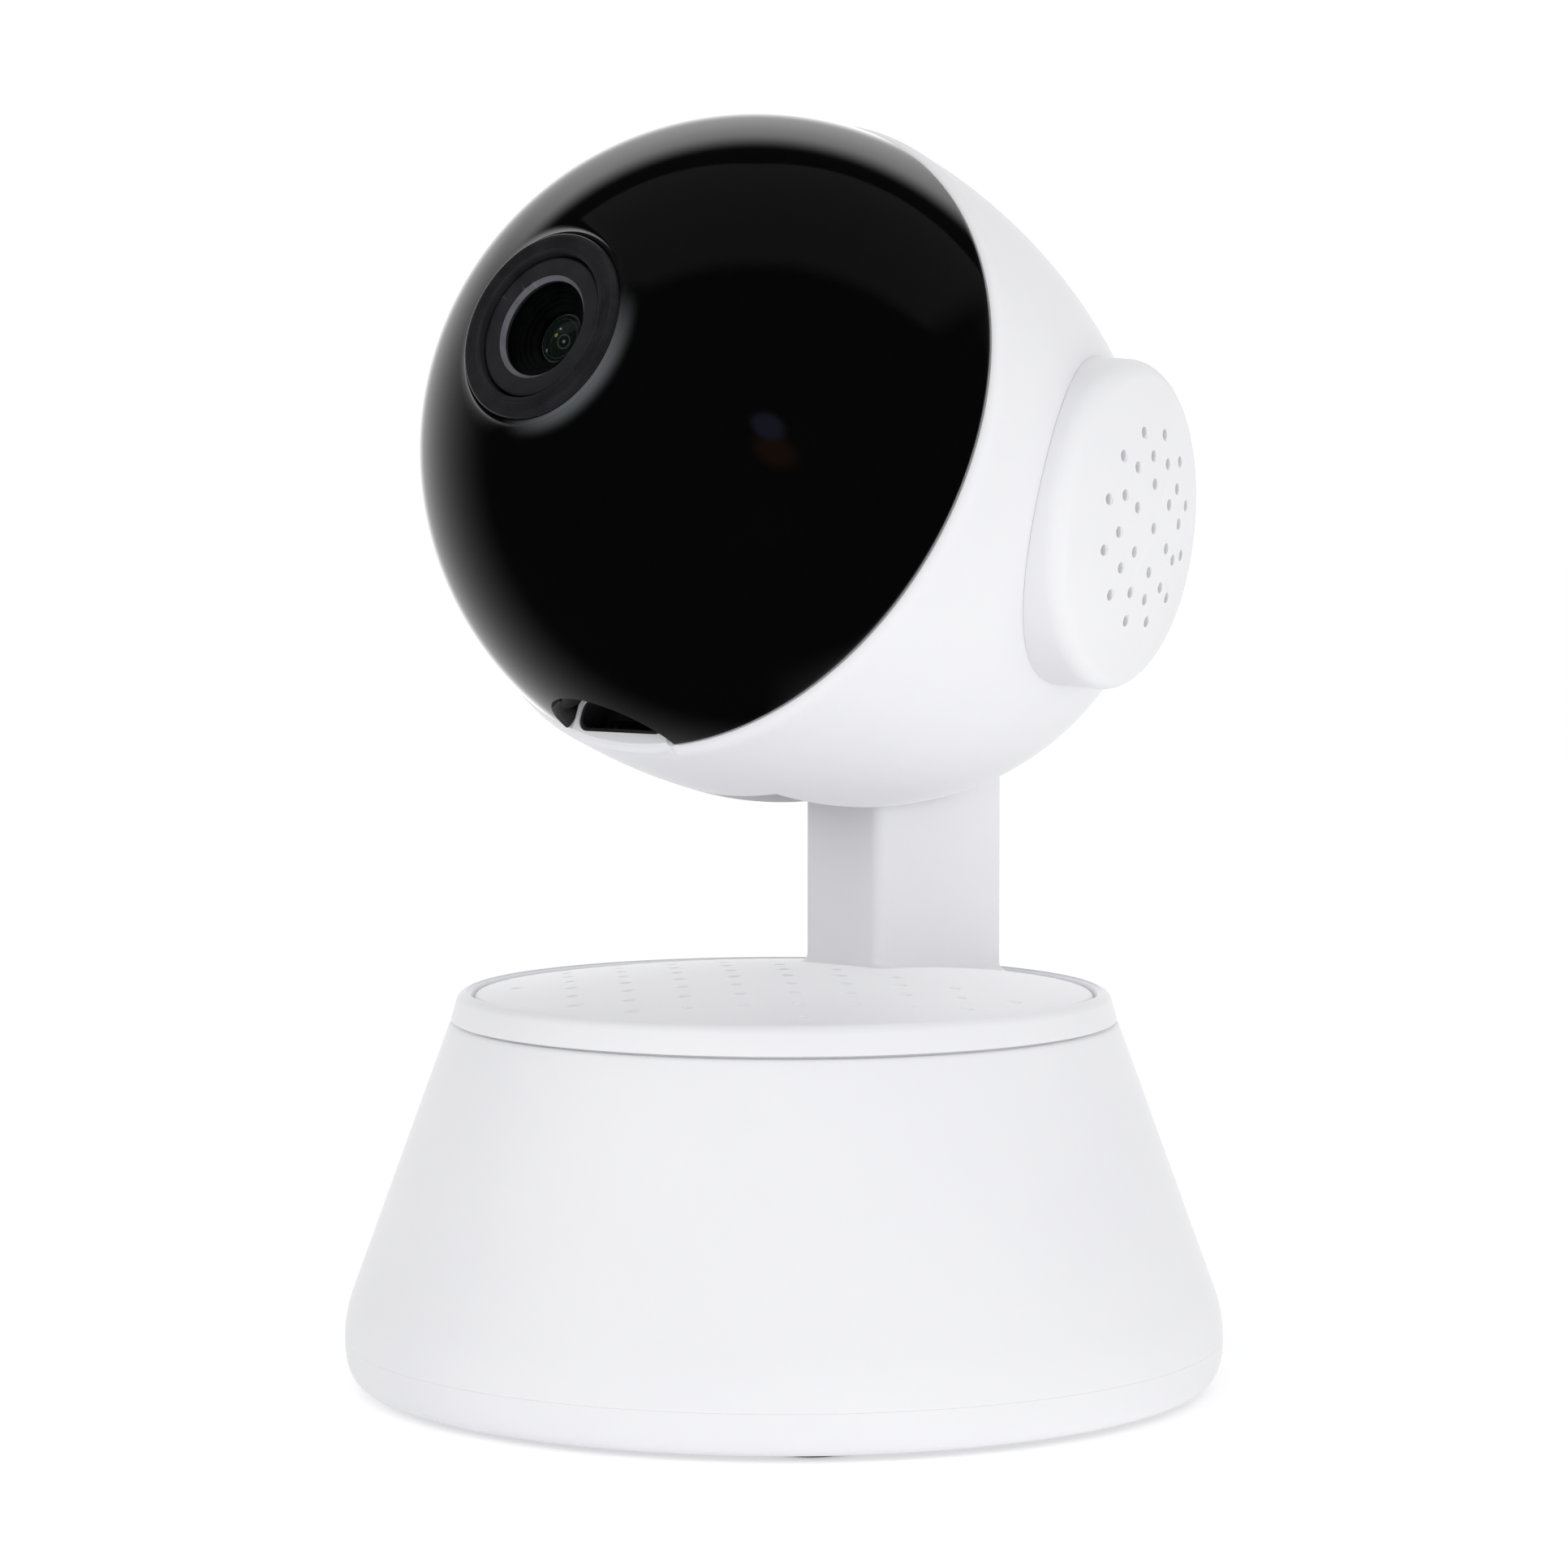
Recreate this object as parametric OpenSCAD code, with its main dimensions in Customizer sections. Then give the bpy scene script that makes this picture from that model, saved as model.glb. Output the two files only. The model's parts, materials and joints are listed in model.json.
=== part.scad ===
// Indoor pan and tilt security camera.
// Origin at the centre of the underside, +Z up, the head looks along -Y. Millimetres.

/* [Base] */
// largest radius of the base
base_r = 50; // [40:0.5:70]
// height of the widest ring and of the lower seam
foot_h = 5.5; // [3:0.5:10]
// lean of the base wall from vertical, degrees
wall_lean = 20; // [5:1:30]
// radius that turns the foot into the wall
foot_round = 15; // [5:1:25]
// height of the upper seam
seam_z = 41.1; // [30:0.1:60]
// wall thickness of the base mouldings
base_wall = 2.3; // [1.5:0.1:4]
// width of a visible seam
seam_gap = 0.3; // [0.1:0.05:0.6]
// width of the closed seam over the bottom cover
foot_gap = 0.05; // [0.02:0.01:0.3]

/* [Turntable] */
// radius of the domed turntable disc
disc_r = 35.1; // [25:0.1:45]
// height of the middle of the disc
disc_top = 46.9; // [40:0.1:60]
// radius of the dome
dome_r = 238; // [100:1:500]
// pitch of the dimples
dimple_pitch = 6.1; // [3:0.1:10]
// radius of one dimple
dimple_r = 0.68; // [0.3:0.02:1.5]
// turntable gear tooth count
gear_teeth = 70; // [40:1:90]
// pinion tooth count
pinion_teeth = 14; // [10:1:20]
// tooth module
tooth_m = 0.6; // [0.4:0.1:1]

/* [Neck] */
// neck width across
neck_w = 11.7; // [8:0.1:20]
// distance of the neck's front face behind the pan axis
neck_front = 10; // [5:0.1:20]
// distance of the neck's rear face behind the pan axis
neck_back = 32.9; // [20:0.1:40]
// corner radius of the neck
neck_round = 1.4; // [0.5:0.1:3]

/* [Head] */
// upward tilt of the head as drawn, degrees
head_tilt = 21; // [0:1:45]
// middle of the front sphere, ahead of the pan axis
head_fwd = 4.8; // [0:0.1:20]
// height of the middle of the front sphere
head_z = 105.6; // [80:0.1:140]
// outside radius of the smoked shield
shield_r = 37.8; // [30:0.1:50]
// shield wall thickness
shield_wall = 2; // [1.2:0.1:3]
// plane where shield and rear shell meet, ahead of the head centre
split_s = 6.6; // [0:0.1:15]
// long profile radius of the rear shell
tail_big = 83; // [60:1:120]
// short profile radius at the tail
tail_small = 32.91; // [20:0.01:38]
// tail circle centre behind the head centre
tail_back = 22; // [10:0.5:35]
// rear shell wall thickness
shell_wall = 2; // [1.5:0.1:3]
// tilt axis behind the head centre
tilt_back = 24.4; // [10:0.1:35]

/* [Lens] */
// outside radius of the bezel
bezel_r = 10.6; // [8:0.1:14]
// plane of the bezel's face ahead of the head centre
bezel_s = 37.7; // [34:0.1:42]
// radius of the groove between bezel and ring
groove_r = 8.1; // [6:0.1:10]
// radius of the aperture
aperture_r = 5.45; // [3:0.05:7]
// radius of the visible front glass
glass_r = 3.15; // [2:0.05:5]

/* [Ears] */
// ear radius
ear_r = 18.4; // [12:0.1:22]
// ear centre behind the head centre
ear_back = 22.5; // [10:0.5:30]
// backward cant of the ear, degrees
ear_cant = 13.5; // [0:0.5:25]
// height of the ear face over the shell
ear_out = 4.5; // [1:0.1:6]
// radius of the domed ear face
ear_dome = 58; // [30:1:120]
// sound hole radius
sound_r = 0.62; // [0.4:0.02:1]

/* [Hidden] */
$fn = 96;
thin = 0.05;
big = 200;
foot_lift = 0.6;
foot_flat = 47.3;
foot_t = 1.6;
wall_tan = tan(wall_lean);
arc_r = base_r - foot_round;
wall_r0 = arc_r + foot_round * cos(wall_lean);
wall_z0 = foot_h + foot_round * sin(wall_lean);
rim_top = 44.7;
rim_in = disc_r + 0.45;
deck_z = 39.4;
deck_t = 2;
collar_r = 14.5;
spindle_r = 11.9;
spindle_in = 8.8;
disc_screw_a = [0, 120, 240];
gear_z = 39.95;
gear_h = 2.6;
gear_r = gear_teeth * tooth_m / 2;
pinion_r = pinion_teeth * tooth_m / 2;
shaft_y = -(gear_r + pinion_r + 0.05);
pan_can_r = 10;
pan_can_x = 6;
pan_can_z = 18.4;
disc_wall = 1.8;
insert_r = 2.6;
screw_x = 29;
board_z = 9;
post_x = 17;
post_y = [17, 38];
port_z = 11.7;
button_x = 10;
ballast_z = 2.65;
neck_wall = 1.6;
neck_top = 88;
hub_r = 9.5;
axis_y = -head_fwd + tilt_back * cos(head_tilt);
axis_z = head_z - tilt_back * sin(head_tilt);
shaft_r = 2.5;
pin_r = 3;
run_gap = 0.06;
slot_w = neck_w + 1;
slot_front = 21.3;
slot_rise = 13;
tail_in = tail_big - shield_r - 0.2;
join_ang = -atan2(tail_back, tail_in);
join_s = tail_big * sin(join_ang);
plate_r = 33.4;
plate_s = 4;
plate_t = 2;
boss_c = 20.5;
cheek_x = 6.7;
cheek_t = 2.2;
motor_r = 12;
motor_off = 8;
motor_h = 18.5;
sensor_s = 9;
led_s = 21;
led_ring = 17;
sensor_a = -18;
ear_x = tail_big * cos(asin(ear_back / tail_big)) - tail_in;
spigot_r = 14.8;
scoop_x = -3.3;
scoop_s = 7.4;
scoop_r = 8.05;
scoop_u = -31.4;
scoop_slope = 0.55;
surface_u = -35.5;
tongue_x = -2.65;
tongue_w = 14.3;
tongue_s = 7.4;
mouth_x = -2.5;
mouth_u = -34.35;
mouth_w = 13.4;
mouth_h = 3;
mouth_back = 2.2;

white = [0.93, 0.93, 0.95];
dark = [0.10, 0.10, 0.11];
steel = [0.70, 0.71, 0.73];
green = [0.10, 0.35, 0.22];

// ---- helpers ----

// points of a rounded rectangle round the origin
function corner(cx, cy, r, a0) = [for (i = [0:5]) let (a = a0 + i * 18)
    [cx + r * cos(a), cy + r * sin(a)]];
function round_rect(w, d, r) = concat(
    corner(w / 2 - r, d / 2 - r, r, 0),
    corner(r - w / 2, d / 2 - r, r, 90),
    corner(r - w / 2, r - d / 2, r, 180),
    corner(w / 2 - r, r - d / 2, r, 270));

// outside radius of the straight base wall at a height
function wall_at(z) = wall_r0 - (z - wall_z0) * wall_tan;

// height of the dome at a radius
function dome_at(r) = disc_top - dome_r + sqrt(dome_r * dome_r - r * r);

// dome profile points from the axis out
function dome_line(r_end, drop) = [for (i = [0:12]) [r_end * i / 12, dome_at(r_end * i / 12) - drop]];

// rear shell radius at a place along the head axis, with a wall taken off
function tail_at(s, off) = s > join_s
    ? sqrt(pow(tail_big - off, 2) - s * s) - tail_in
    : sqrt(max(0, pow(tail_small - off, 2) - pow(s + tail_back, 2)));
function tail_end(off) = -tail_back - tail_small + off;
function tail_line(off, s_top) = concat(
    [[0, tail_end(off)]],
    [for (i = [1:9]) let (a = -90 + i * (90 + join_ang) / 9)
        [(tail_small - off) * cos(a), -tail_back + (tail_small - off) * sin(a)]],
    [for (i = [1:8]) let (s = join_s * (1 - off / tail_big) * (1 - i / 8) + s_top * i / 8)
        [tail_at(s, off), s]],
    [[0, s_top]]);

// a turned ring
module ring(r_in, r_out, z0, h) {
    translate([0, 0, z0])
        difference() {
            cylinder(h = h, r = r_out);
            translate([0, 0, -1])
                cylinder(h = h + 2, r = r_in);
        }
}

// a block round a point
module block(x, y, z, w, d, h) {
    translate([x - w / 2, y - d / 2, z])
        cube([w, d, h]);
}

// puts children at four corners
module four(x, y) {
    for (sx = [-1, 1])
        for (sy = [-1, 1])
            translate([sx * x, sy * y, 0])
                children();
}

// head frame: X across, Y up through the head, Z along the lens axis
module in_head() {
    translate([0, -head_fwd, head_z])
        rotate([90 - head_tilt, 0, 0])
            children();
}

// ear frame: Z out of the ear
module in_ear() {
    translate([ear_x, 0, -ear_back])
        rotate([0, 90 + ear_cant, 0])
            children();
}

// a rod along X in the head frame
module rod_x(x0, len, r) {
    translate([x0, 0, -tilt_back])
        rotate([0, 90, 0])
            cylinder(h = len, r = r);
}

// a pan head screw, point down, head seat at the origin
module screw(r, len, head_r, head_h) {
    translate([0, 0, -len])
        cylinder(h = len + thin, r = r);
    difference() {
        cylinder(h = head_h, r = head_r);
        for (a = [0, 90])
            rotate([0, 0, a])
                block(0, 0, head_h * 0.45, head_r * 1.1, head_r * 0.26, head_h);
    }
}

// spur gear outline: straight flanked teeth on a root circle
module gear_2d(teeth, m) {
    pitch_r = teeth * m / 2;
    root_r = pitch_r - 1.2 * m;
    tip_r = pitch_r + 0.8 * m;
    half_p = 360 / teeth / 4 * 0.86;
    flanks = [[-1.5, root_r], [-1, pitch_r], [-0.42, tip_r],
              [0.42, tip_r], [1, pitch_r], [1.5, root_r]];
    points = [for (i = [0:teeth - 1])
        for (k = flanks)
            let (a = i * 360 / teeth + k[0] * half_p)
                [k[1] * cos(a), k[1] * sin(a)]];
    polygon(points);
}

// ---- base ----

// outline of the base wall from the lower seam up, moved in by off
function foot_arc(off) = [for (i = [0:6]) let (a = i * wall_lean / 6)
    [arc_r + (foot_round - off) * cos(a), foot_h + (foot_round - off) * sin(a)]];

module base_outer(off, z_top) {
    slant = off / cos(wall_lean);
    rotate_extrude()
        polygon(concat(
            [[0, foot_h]],
            foot_arc(off),
            [[wall_at(z_top) - slant, z_top], [0, z_top]]));
}

module screw_boss() {
    intersection() {
        four(screw_x, screw_x)
            translate([0, 0, foot_h + 0.3])
                cylinder(h = 20, r = 3.4);
        base_outer(base_wall / 2, seam_z);
    }
}

module base_shell() {
    color(white)
        difference() {
            union() {
                difference() {
                    base_outer(0, seam_z);
                    translate([0, 0, -thin])
                        base_outer(base_wall, deck_z - deck_t + thin);
                    translate([0, 0, deck_z])
                        cylinder(h = 9, r = rim_in - 0.04);
                }
                screw_boss();
                ring(spindle_r, collar_r, deck_z - 4, 4.4);
            }
            cylinder(h = 60, r = spindle_r + 0.08);
            translate([0, shaft_y, 0])
                cylinder(h = 60, r = 3.3);
            four(screw_x, screw_x)
                cylinder(h = 20, r = 1.25);
            for (sx = [-1, 1])
                translate([pan_can_x + sx * 13, shaft_y, 30])
                    cylinder(h = 20, r = 1.05);
            block(0, 46, port_z - 3.6, 11.6, 9, 7.2);
            translate([button_x, 40, port_z])
                rotate([-90, 0, 0])
                    cylinder(h = 12, r = 1.9);
        }
}

module rim_cap() {
    lip = 1.4;
    z0 = seam_z + seam_gap;
    outer_r = wall_at(rim_top - lip);
    inset_r = wall_at(z0) - 0.7;
    color(white)
        rotate_extrude()
            polygon(concat(
                [[rim_in - 2.1, deck_z + 0.05], [rim_in - 0.1, deck_z + 0.05],
                 [rim_in - 0.1, seam_z + 0.05], [inset_r, seam_z + 0.05],
                 [inset_r, z0], [wall_at(z0), z0]],
                [for (i = [0:6]) let (a = wall_lean + i * (84 - wall_lean) / 6)
                    [outer_r - lip * cos(wall_lean) + lip * cos(a), rim_top - lip + lip * sin(a)]],
                [[rim_in + 0.35, dome_at(disc_r) + 0.25], [rim_in, dome_at(disc_r) - 0.15],
                 [rim_in, deck_z + 1.9], [rim_in - 2.1, deck_z + 1.9]]));
}

module bottom_cover() {
    dz = foot_h - foot_gap - foot_lift;
    dr = base_r - foot_flat;
    inner_r = base_r - base_wall - 0.6;
    color(white)
        difference() {
            union() {
                rotate_extrude()
                    polygon(concat(
                        [[0, foot_lift]],
                        [for (i = [0:10]) let (a = i * 9)
                            [foot_flat + dr * pow(sin(a), 0.8),
                             foot_lift + dz * (1 - pow(cos(a), 0.8))]],
                        [[inner_r + 0.25, foot_h - foot_gap],
                         [inner_r + 0.25, foot_h + 1.6], [inner_r - 0.9, foot_h + 1.6],
                         [inner_r - 0.9, foot_lift + 3.2], [inner_r - 2.4, foot_lift + 2],
                         [0, foot_lift + 2]]));
                four(screw_x, screw_x)
                    translate([0, 0, foot_lift + 1])
                        cylinder(h = foot_h + 0.25 - foot_lift - 1, r = 3.9);
                translate([0, 0, foot_lift + 1])
                    cylinder(h = 7.4, r = 6.2);
                for (x = [-post_x, post_x])
                    for (y = post_y)
                        translate([x, y, foot_lift + 1])
                            cylinder(h = board_z - foot_lift - 1, r = 2.4);
            }
            four(screw_x, screw_x)
                translate([0, 0, -1]) {
                    cylinder(h = 9, r = 1.6);
                    cylinder(h = foot_t + 1.1, r = 4.7);
                    cylinder(h = foot_lift + 3.15, r = 2.8);
                }
            cylinder(h = 20, r = insert_r + 1.4);
            for (x = [-post_x, post_x])
                for (y = post_y)
                    translate([x, y, foot_lift + 2])
                        cylinder(h = 20, r = 0.9);
        }
}

module feet() {
    color(dark)
        four(screw_x, screw_x)
            cylinder(h = foot_t, r = 4.6);
}

module base_screws() {
    color(steel)
        four(screw_x, screw_x)
            translate([0, 0, foot_lift + 2.15])
                mirror([0, 0, 1])
                    screw(1.2, 12, 2.6, 0.6);
}

module bracket_insert() {
    color([0.78, 0.62, 0.30])
        difference() {
            union() {
                translate([0, 0, foot_lift])
                    cylinder(h = 8.4, r = insert_r + 1.35);
                translate([0, 0, foot_lift + 8.45])
                    cylinder(h = 0.8, r = insert_r + 2.2);
                translate([0, 0, foot_lift + 8])
                    cylinder(h = 1, r = insert_r + 1.35);
            }
            cylinder(h = 30, r = insert_r);
        }
}

module ballast() {
    color([0.35, 0.35, 0.37])
        difference() {
            ring(9, 35.5, ballast_z, 3.4);
            translate([-60, 4, 0])
                cube([120, 60, 20]);
            four(screw_x, screw_x)
                cylinder(h = 20, r = 4.8);
        }
}

module base_board() {
    color(green)
        difference() {
            block(0, 27.5, board_z, 42, 29, 1.2);
            for (x = [-post_x, post_x])
                for (y = post_y)
                    translate([x, y, 0])
                        cylinder(h = 20, r = 1.1);
        }
}

module board_parts() {
    z = board_z + 1.25;
    color(dark) {
        block(-9, 24, z, 7, 7, 1.1);
        block(4, 22, z, 5, 4, 1.5);
        block(12, 27, z, 6, 9, 3.4);
        block(-2, 31, z, 4, 4, 2.2);
        block(-15, 32, z, 4, 5, 2.6);
        translate([-13, 20, z])
            cylinder(h = 6, r = 2.2);
        translate([6, 30, z])
            cylinder(h = 5, r = 1.9);
    }
}

module power_socket() {
    color(steel)
        translate([0, 0, board_z + 1.25])
            difference() {
                block(0, 43.7, 0, 7.6, 5.6, 2.7);
                block(0, 45.2, 0.4, 6.8, 6, 1.9);
            }
}

module reset_switch() {
    color(dark)
        difference() {
            block(button_x, 41.2, board_z + 1.25, 4.2, 3.2, 3.3);
            translate([button_x, 41.7, port_z])
                rotate([-90, 0, 0])
                    cylinder(h = 4, r = 1.2);
        }
}

module reset_button() {
    color([0.6, 0.6, 0.63])
        translate([button_x, 42.5, port_z])
            rotate([-90, 0, 0]) {
                cylinder(h = 1, r = 1.1);
                translate([0, 0, 0.92])
                    cylinder(h = 0.4, r = 2.2);
                translate([0, 0, 1.3])
                    cylinder(h = 4, r = 1.75);
            }
}

module pan_motor() {
    color(steel)
        difference() {
            union() {
                translate([pan_can_x, shaft_y, pan_can_z])
                    cylinder(h = deck_z - deck_t - 0.05 - pan_can_z, r = pan_can_r);
                translate([0, shaft_y, pan_can_z + 3])
                    cylinder(h = deck_z - pan_can_z - 3, r = 3.1);
                translate([0, 0, deck_z - deck_t - 0.95])
                    block(pan_can_x, shaft_y, 0, 31, 6, 0.9);
            }
            translate([0, shaft_y, deck_z - 7])
                cylinder(h = 9, r = 1.05);
            for (sx = [-1, 1])
                translate([pan_can_x + sx * 13, shaft_y, 20])
                    cylinder(h = 20, r = 1.2);
        }
}

module pan_motor_screws() {
    color(steel)
        for (sx = [-1, 1])
            translate([pan_can_x + sx * 13, shaft_y, deck_z - deck_t - 1])
                mirror([0, 0, 1])
                    screw(0.95, 2.8, 1.9, 1.1);
}

module pan_pinion() {
    color([0.92, 0.90, 0.84])
        translate([0, shaft_y, 0]) {
            translate([0, 0, gear_z + 0.1])
                rotate([0, 0, 90])
                    linear_extrude(height = gear_h - 0.2)
                        gear_2d(pinion_teeth, tooth_m);
            translate([0, 0, deck_z - 6.9])
                cylinder(h = gear_z - deck_z + 7.4, r = 1);
        }
}

// ---- turntable ----

module dimples() {
    // square grid laid diagonally, in front of the neck
    step = dimple_pitch / sqrt(2);
    for (i = [-7:7])
        for (j = [-7:7]) {
            r = step * norm([i, j]);
            if (abs(i + j) % 2 == 0 && r < disc_r - 4.5 && j * step < neck_front - 5)
                translate([i * step, j * step, dome_at(r) - 0.5])
                    cylinder(h = 3, r = dimple_r, $fn = 24);
        }
}

module turntable_disc() {
    color(white)
        difference() {
            union() {
                rotate_extrude()
                    polygon(concat(
                        dome_line(disc_r - 0.3, 0),
                        [[disc_r, dome_at(disc_r) - 0.3], [disc_r, deck_z + 2.3],
                         [disc_r - 1.4, deck_z + 2.3], [disc_r - 1.4, dome_at(disc_r) - disc_wall]],
                        [for (i = [0:11]) let (r = (disc_r - 2) * (1 - i / 12))
                            [r, dome_at(r) - disc_wall]],
                        [[0, dome_at(0) - disc_wall]]));
                ring(spindle_in + 3.4, 16.6, gear_z + gear_h + 0.05, 2.6);
            }
            dimples();
            block(0, 9.5, gear_z, 8, 16, 4.2);
            block(0, 21.2, 40, neck_w - 2 * neck_wall - 0.4, 14, 9);
            for (a = disc_screw_a)
                rotate([0, 0, a])
                    translate([0, -14.6, 40])
                        cylinder(h = 4.6, r = 0.85);
        }
}

module neck_body() {
    mid = (neck_front + neck_back) / 2;
    deep = neck_back - neck_front;
    translate([0, mid, seam_z])
        linear_extrude(height = neck_top - seam_z)
            polygon(round_rect(neck_w, deep, neck_round));
    intersection() {
        translate([-neck_w / 2, 0, axis_z])
            translate([0, axis_y, 0])
                rotate([0, 90, 0])
                    cylinder(h = neck_w, r = hub_r);
        block(0, axis_y, neck_top - 2, neck_w, 2 * hub_r + 2, 20);
    }
}

module neck() {
    color(white)
        difference() {
            neck_body();
            translate([0, 0, disc_top - dome_r])
                sphere(r = dome_r + thin, $fn = 360);
            block(0, 25, 30, neck_w - 2 * neck_wall, 25, 58 - 4);
            translate([-20, axis_y, axis_z])
                rotate([0, 90, 0])
                    cylinder(h = 20.5, r = shaft_r + 0.03);
            translate([-0.5, axis_y, axis_z])
                rotate([0, 90, 0])
                    cylinder(h = 20, r = pin_r + 0.03);
            for (z = [54, 78])
                translate([0, 13.5, z])
                    rotate([90, 0, 0])
                        cylinder(h = 2, r = 0.8);
        }
}

module neck_cover() {
    foot = dome_at(neck_back) + 0.25;
    color(white)
        difference() {
            union() {
                block(0, neck_back - 1, foot, neck_w - 2 * neck_wall - 0.2, 1.8, 84 - foot - 0.3);
                for (z = [54, 78])
                    translate([0, neck_back - 1, z])
                        rotate([90, 0, 0])
                            cylinder(h = 17.6, r = 2);
            }
            for (z = [54, 78])
                translate([0, neck_back + 1, z])
                    rotate([90, 0, 0]) {
                        cylinder(h = 25, r = 0.95);
                        cylinder(h = 2.2, r = 2);
                    }
        }
}

module neck_screws() {
    color(steel)
        for (z = [54, 78])
            translate([0, neck_back - 1.15, z])
                rotate([-90, 0, 0])
                    screw(0.75, 20, 1.6, 0.9);
}

module neck_cable() {
    color([0.15, 0.15, 0.16]) {
        block(0, 3, 31, 5, 0.9, 12.7);
        block(0, 9.75, 42.95, 5, 14.4, 0.75);
        translate([3.05, 16, 42.95])
            cylinder(h = 40, r = 0.95);
    }
}

module pan_gear() {
    color([0.92, 0.90, 0.84])
        difference() {
            union() {
                translate([0, 0, gear_z])
                    linear_extrude(height = gear_h)
                        gear_2d(gear_teeth, tooth_m);
                translate([0, 0, deck_z - 5.4])
                    cylinder(h = gear_z - deck_z + 6, r = spindle_r);
            }
            translate([0, 0, 20])
                cylinder(h = 40, r = spindle_in);
            difference() {
                translate([0, 0, deck_z - 5.05])
                    cylinder(h = 0.9, r = 20);
                translate([0, 0, deck_z - 6])
                    cylinder(h = 3, r = spindle_r - 1);
            }
            for (a = disc_screw_a)
                rotate([0, 0, a])
                    translate([0, -14.6, 30]) {
                        cylinder(h = 20, r = 1.1);
                        cylinder(h = gear_z - 30 + 1.35, r = 2);
                    }
            for (a = [0:40:359])
                rotate([0, 0, a + 20])
                    translate([18.3, 0, gear_z - 1])
                        cylinder(h = 6, r = 1.3);
        }
}

module retaining_ring() {
    color(steel)
        difference() {
            ring(spindle_r - 0.95, 14.4, deck_z - 4.98, 0.75);
            translate([0, 12, 30])
                block(0, 0, 0, 3, 8, 9);
        }
}

module disc_screws() {
    color(steel)
        for (a = disc_screw_a)
            rotate([0, 0, a])
                translate([0, -14.6, gear_z + 1.3])
                    mirror([0, 0, 1])
                        screw(0.8, 3, 1.8, 1.1);
}

module tilt_shaft() {
    color(steel)
        in_head()
            rod_x(-14, 14.3, shaft_r);
}

module pivot_pin() {
    color(steel)
        in_head() {
            rod_x(0.4, 9.2, pin_r);
            rod_x(9.5, 1, pin_r + 1.2);
        }
}

// ---- head: front ----

module front_half(r, s0) {
    intersection() {
        sphere(r = r, $fn = 144);
        translate([-big / 2, -big / 2, s0])
            cube([big, big, big]);
    }
}

// cone that cuts the scoop, grown by a margin
module scoop(grow, roof) {
    u_top = scoop_u + roof;
    r_top = scoop_r - scoop_slope * (u_top - surface_u) + grow;
    translate([scoop_x, u_top, scoop_s])
        rotate([90, 0, 0])
            cylinder(h = 12, r1 = r_top, r2 = r_top + 12 * scoop_slope);
}

module front_shield() {
    color([0.03, 0.03, 0.035])
        in_head()
            difference() {
                union() {
                    difference() {
                        union() {
                            front_half(shield_r, split_s);
                            translate([0, 0, bezel_s - 3.2])
                                cylinder(h = 2.4, r1 = bezel_r + 3.2, r2 = bezel_r + 0.8);
                            translate([0, 0, split_s - 3.4])
                                cylinder(h = 6, r = plate_r + 1.7);
                        }
                        sphere(r = shield_r - shield_wall, $fn = 144);
                        translate([0, 0, split_s - 5])
                            cylinder(h = 7, r = plate_r + 0.35);
                    }
                    intersection() {
                        scoop(1.4, 1.4);
                        front_half(shield_r - 0.3, split_s + thin);
                    }
                }
                translate([0, 0, 20])
                    cylinder(h = 30, r = bezel_r + 0.1);
                scoop(0, 0);
                translate([0, scoop_u - 8.6, split_s - 5])
                    block(tongue_x, 0, 0, tongue_w + 0.6, 20, 5.02);
            }
}

// ---- lens ----

module lens_bezel() {
    color([0.16, 0.16, 0.18])
        in_head()
            rotate_extrude()
                polygon([
                    [groove_r + 0.15, bezel_s - 5], [bezel_r, bezel_s - 5],
                    [bezel_r, bezel_s - 0.5], [bezel_r - 0.15, bezel_s - 0.15], [bezel_r - 0.5, bezel_s],
                    [groove_r + 0.75, bezel_s - 0.15], [groove_r + 0.6, bezel_s + 0.02],
                    [groove_r + 0.3, bezel_s + 0.02], [groove_r + 0.15, bezel_s - 0.2]]);
}

module lens_ring() {
    face = bezel_s - 0.5;
    color([0.2, 0.2, 0.21])
        in_head()
            rotate_extrude()
                polygon([
                    [aperture_r + 0.7, face - 4], [groove_r - 0.15, face - 4],
                    [groove_r - 0.15, face - 0.25], [groove_r - 0.4, face],
                    [aperture_r + 0.5, face], [aperture_r, face - 0.5],
                    [aperture_r, face - 0.9], [aperture_r + 0.7, face - 1.2]]);
}

module lens_barrel() {
    top = bezel_s - 1.45;
    color(dark)
        in_head()
            rotate_extrude()
                polygon([
                    [glass_r - 0.15, top - 2.0], [glass_r + 0.1, top - 1.9],
                    [aperture_r + 0.55, top - 0.3], [aperture_r + 0.6, top - 3],
                    [6.0, top - 3], [6.0, sensor_s + 6.5], [4.2, sensor_s + 6.5], [4.2, top - 12],
                    [4.9, top - 12], [4.9, top - 5.4], [glass_r - 0.15, top - 5.4]]);
}

module front_glass() {
    // meniscus seated in the barrel's cone
    color([0.5, 0.6, 0.6, 0.4])
        in_head()
            translate([0, 0, bezel_s - 3.95])
                intersection() {
                    translate([0, 0, -4.9])
                        sphere(r = 5.6);
                    translate([0, 0, -1.3])
                        cylinder(h = 6, r = glass_r - 0.2);
                }
}

module rear_glass() {
    color([0.5, 0.6, 0.6, 0.4])
        in_head()
            translate([0, 0, bezel_s - 12])
                intersection() {
                    translate([0, 0, -7])
                        sphere(r = 10);
                    cylinder(h = 6, r = 4.85);
                }
}

module lens_holder() {
    color(dark)
        in_head()
            difference() {
                union() {
                    block(0, 0, sensor_s + 1.25, 15, 15, 6);
                    block(0, 0, sensor_s + 1.25, 24, 6, 1.8);
                    translate([0, 0, sensor_s + 6])
                        cylinder(h = 11, r = 7.6);
                }
                translate([0, 0, sensor_s + 6])
                    cylinder(h = 20, r = 6.05);
                block(0, 0, sensor_s, 11, 11, 5);
                cylinder(h = 40, r = 5);
            }
}

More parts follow.
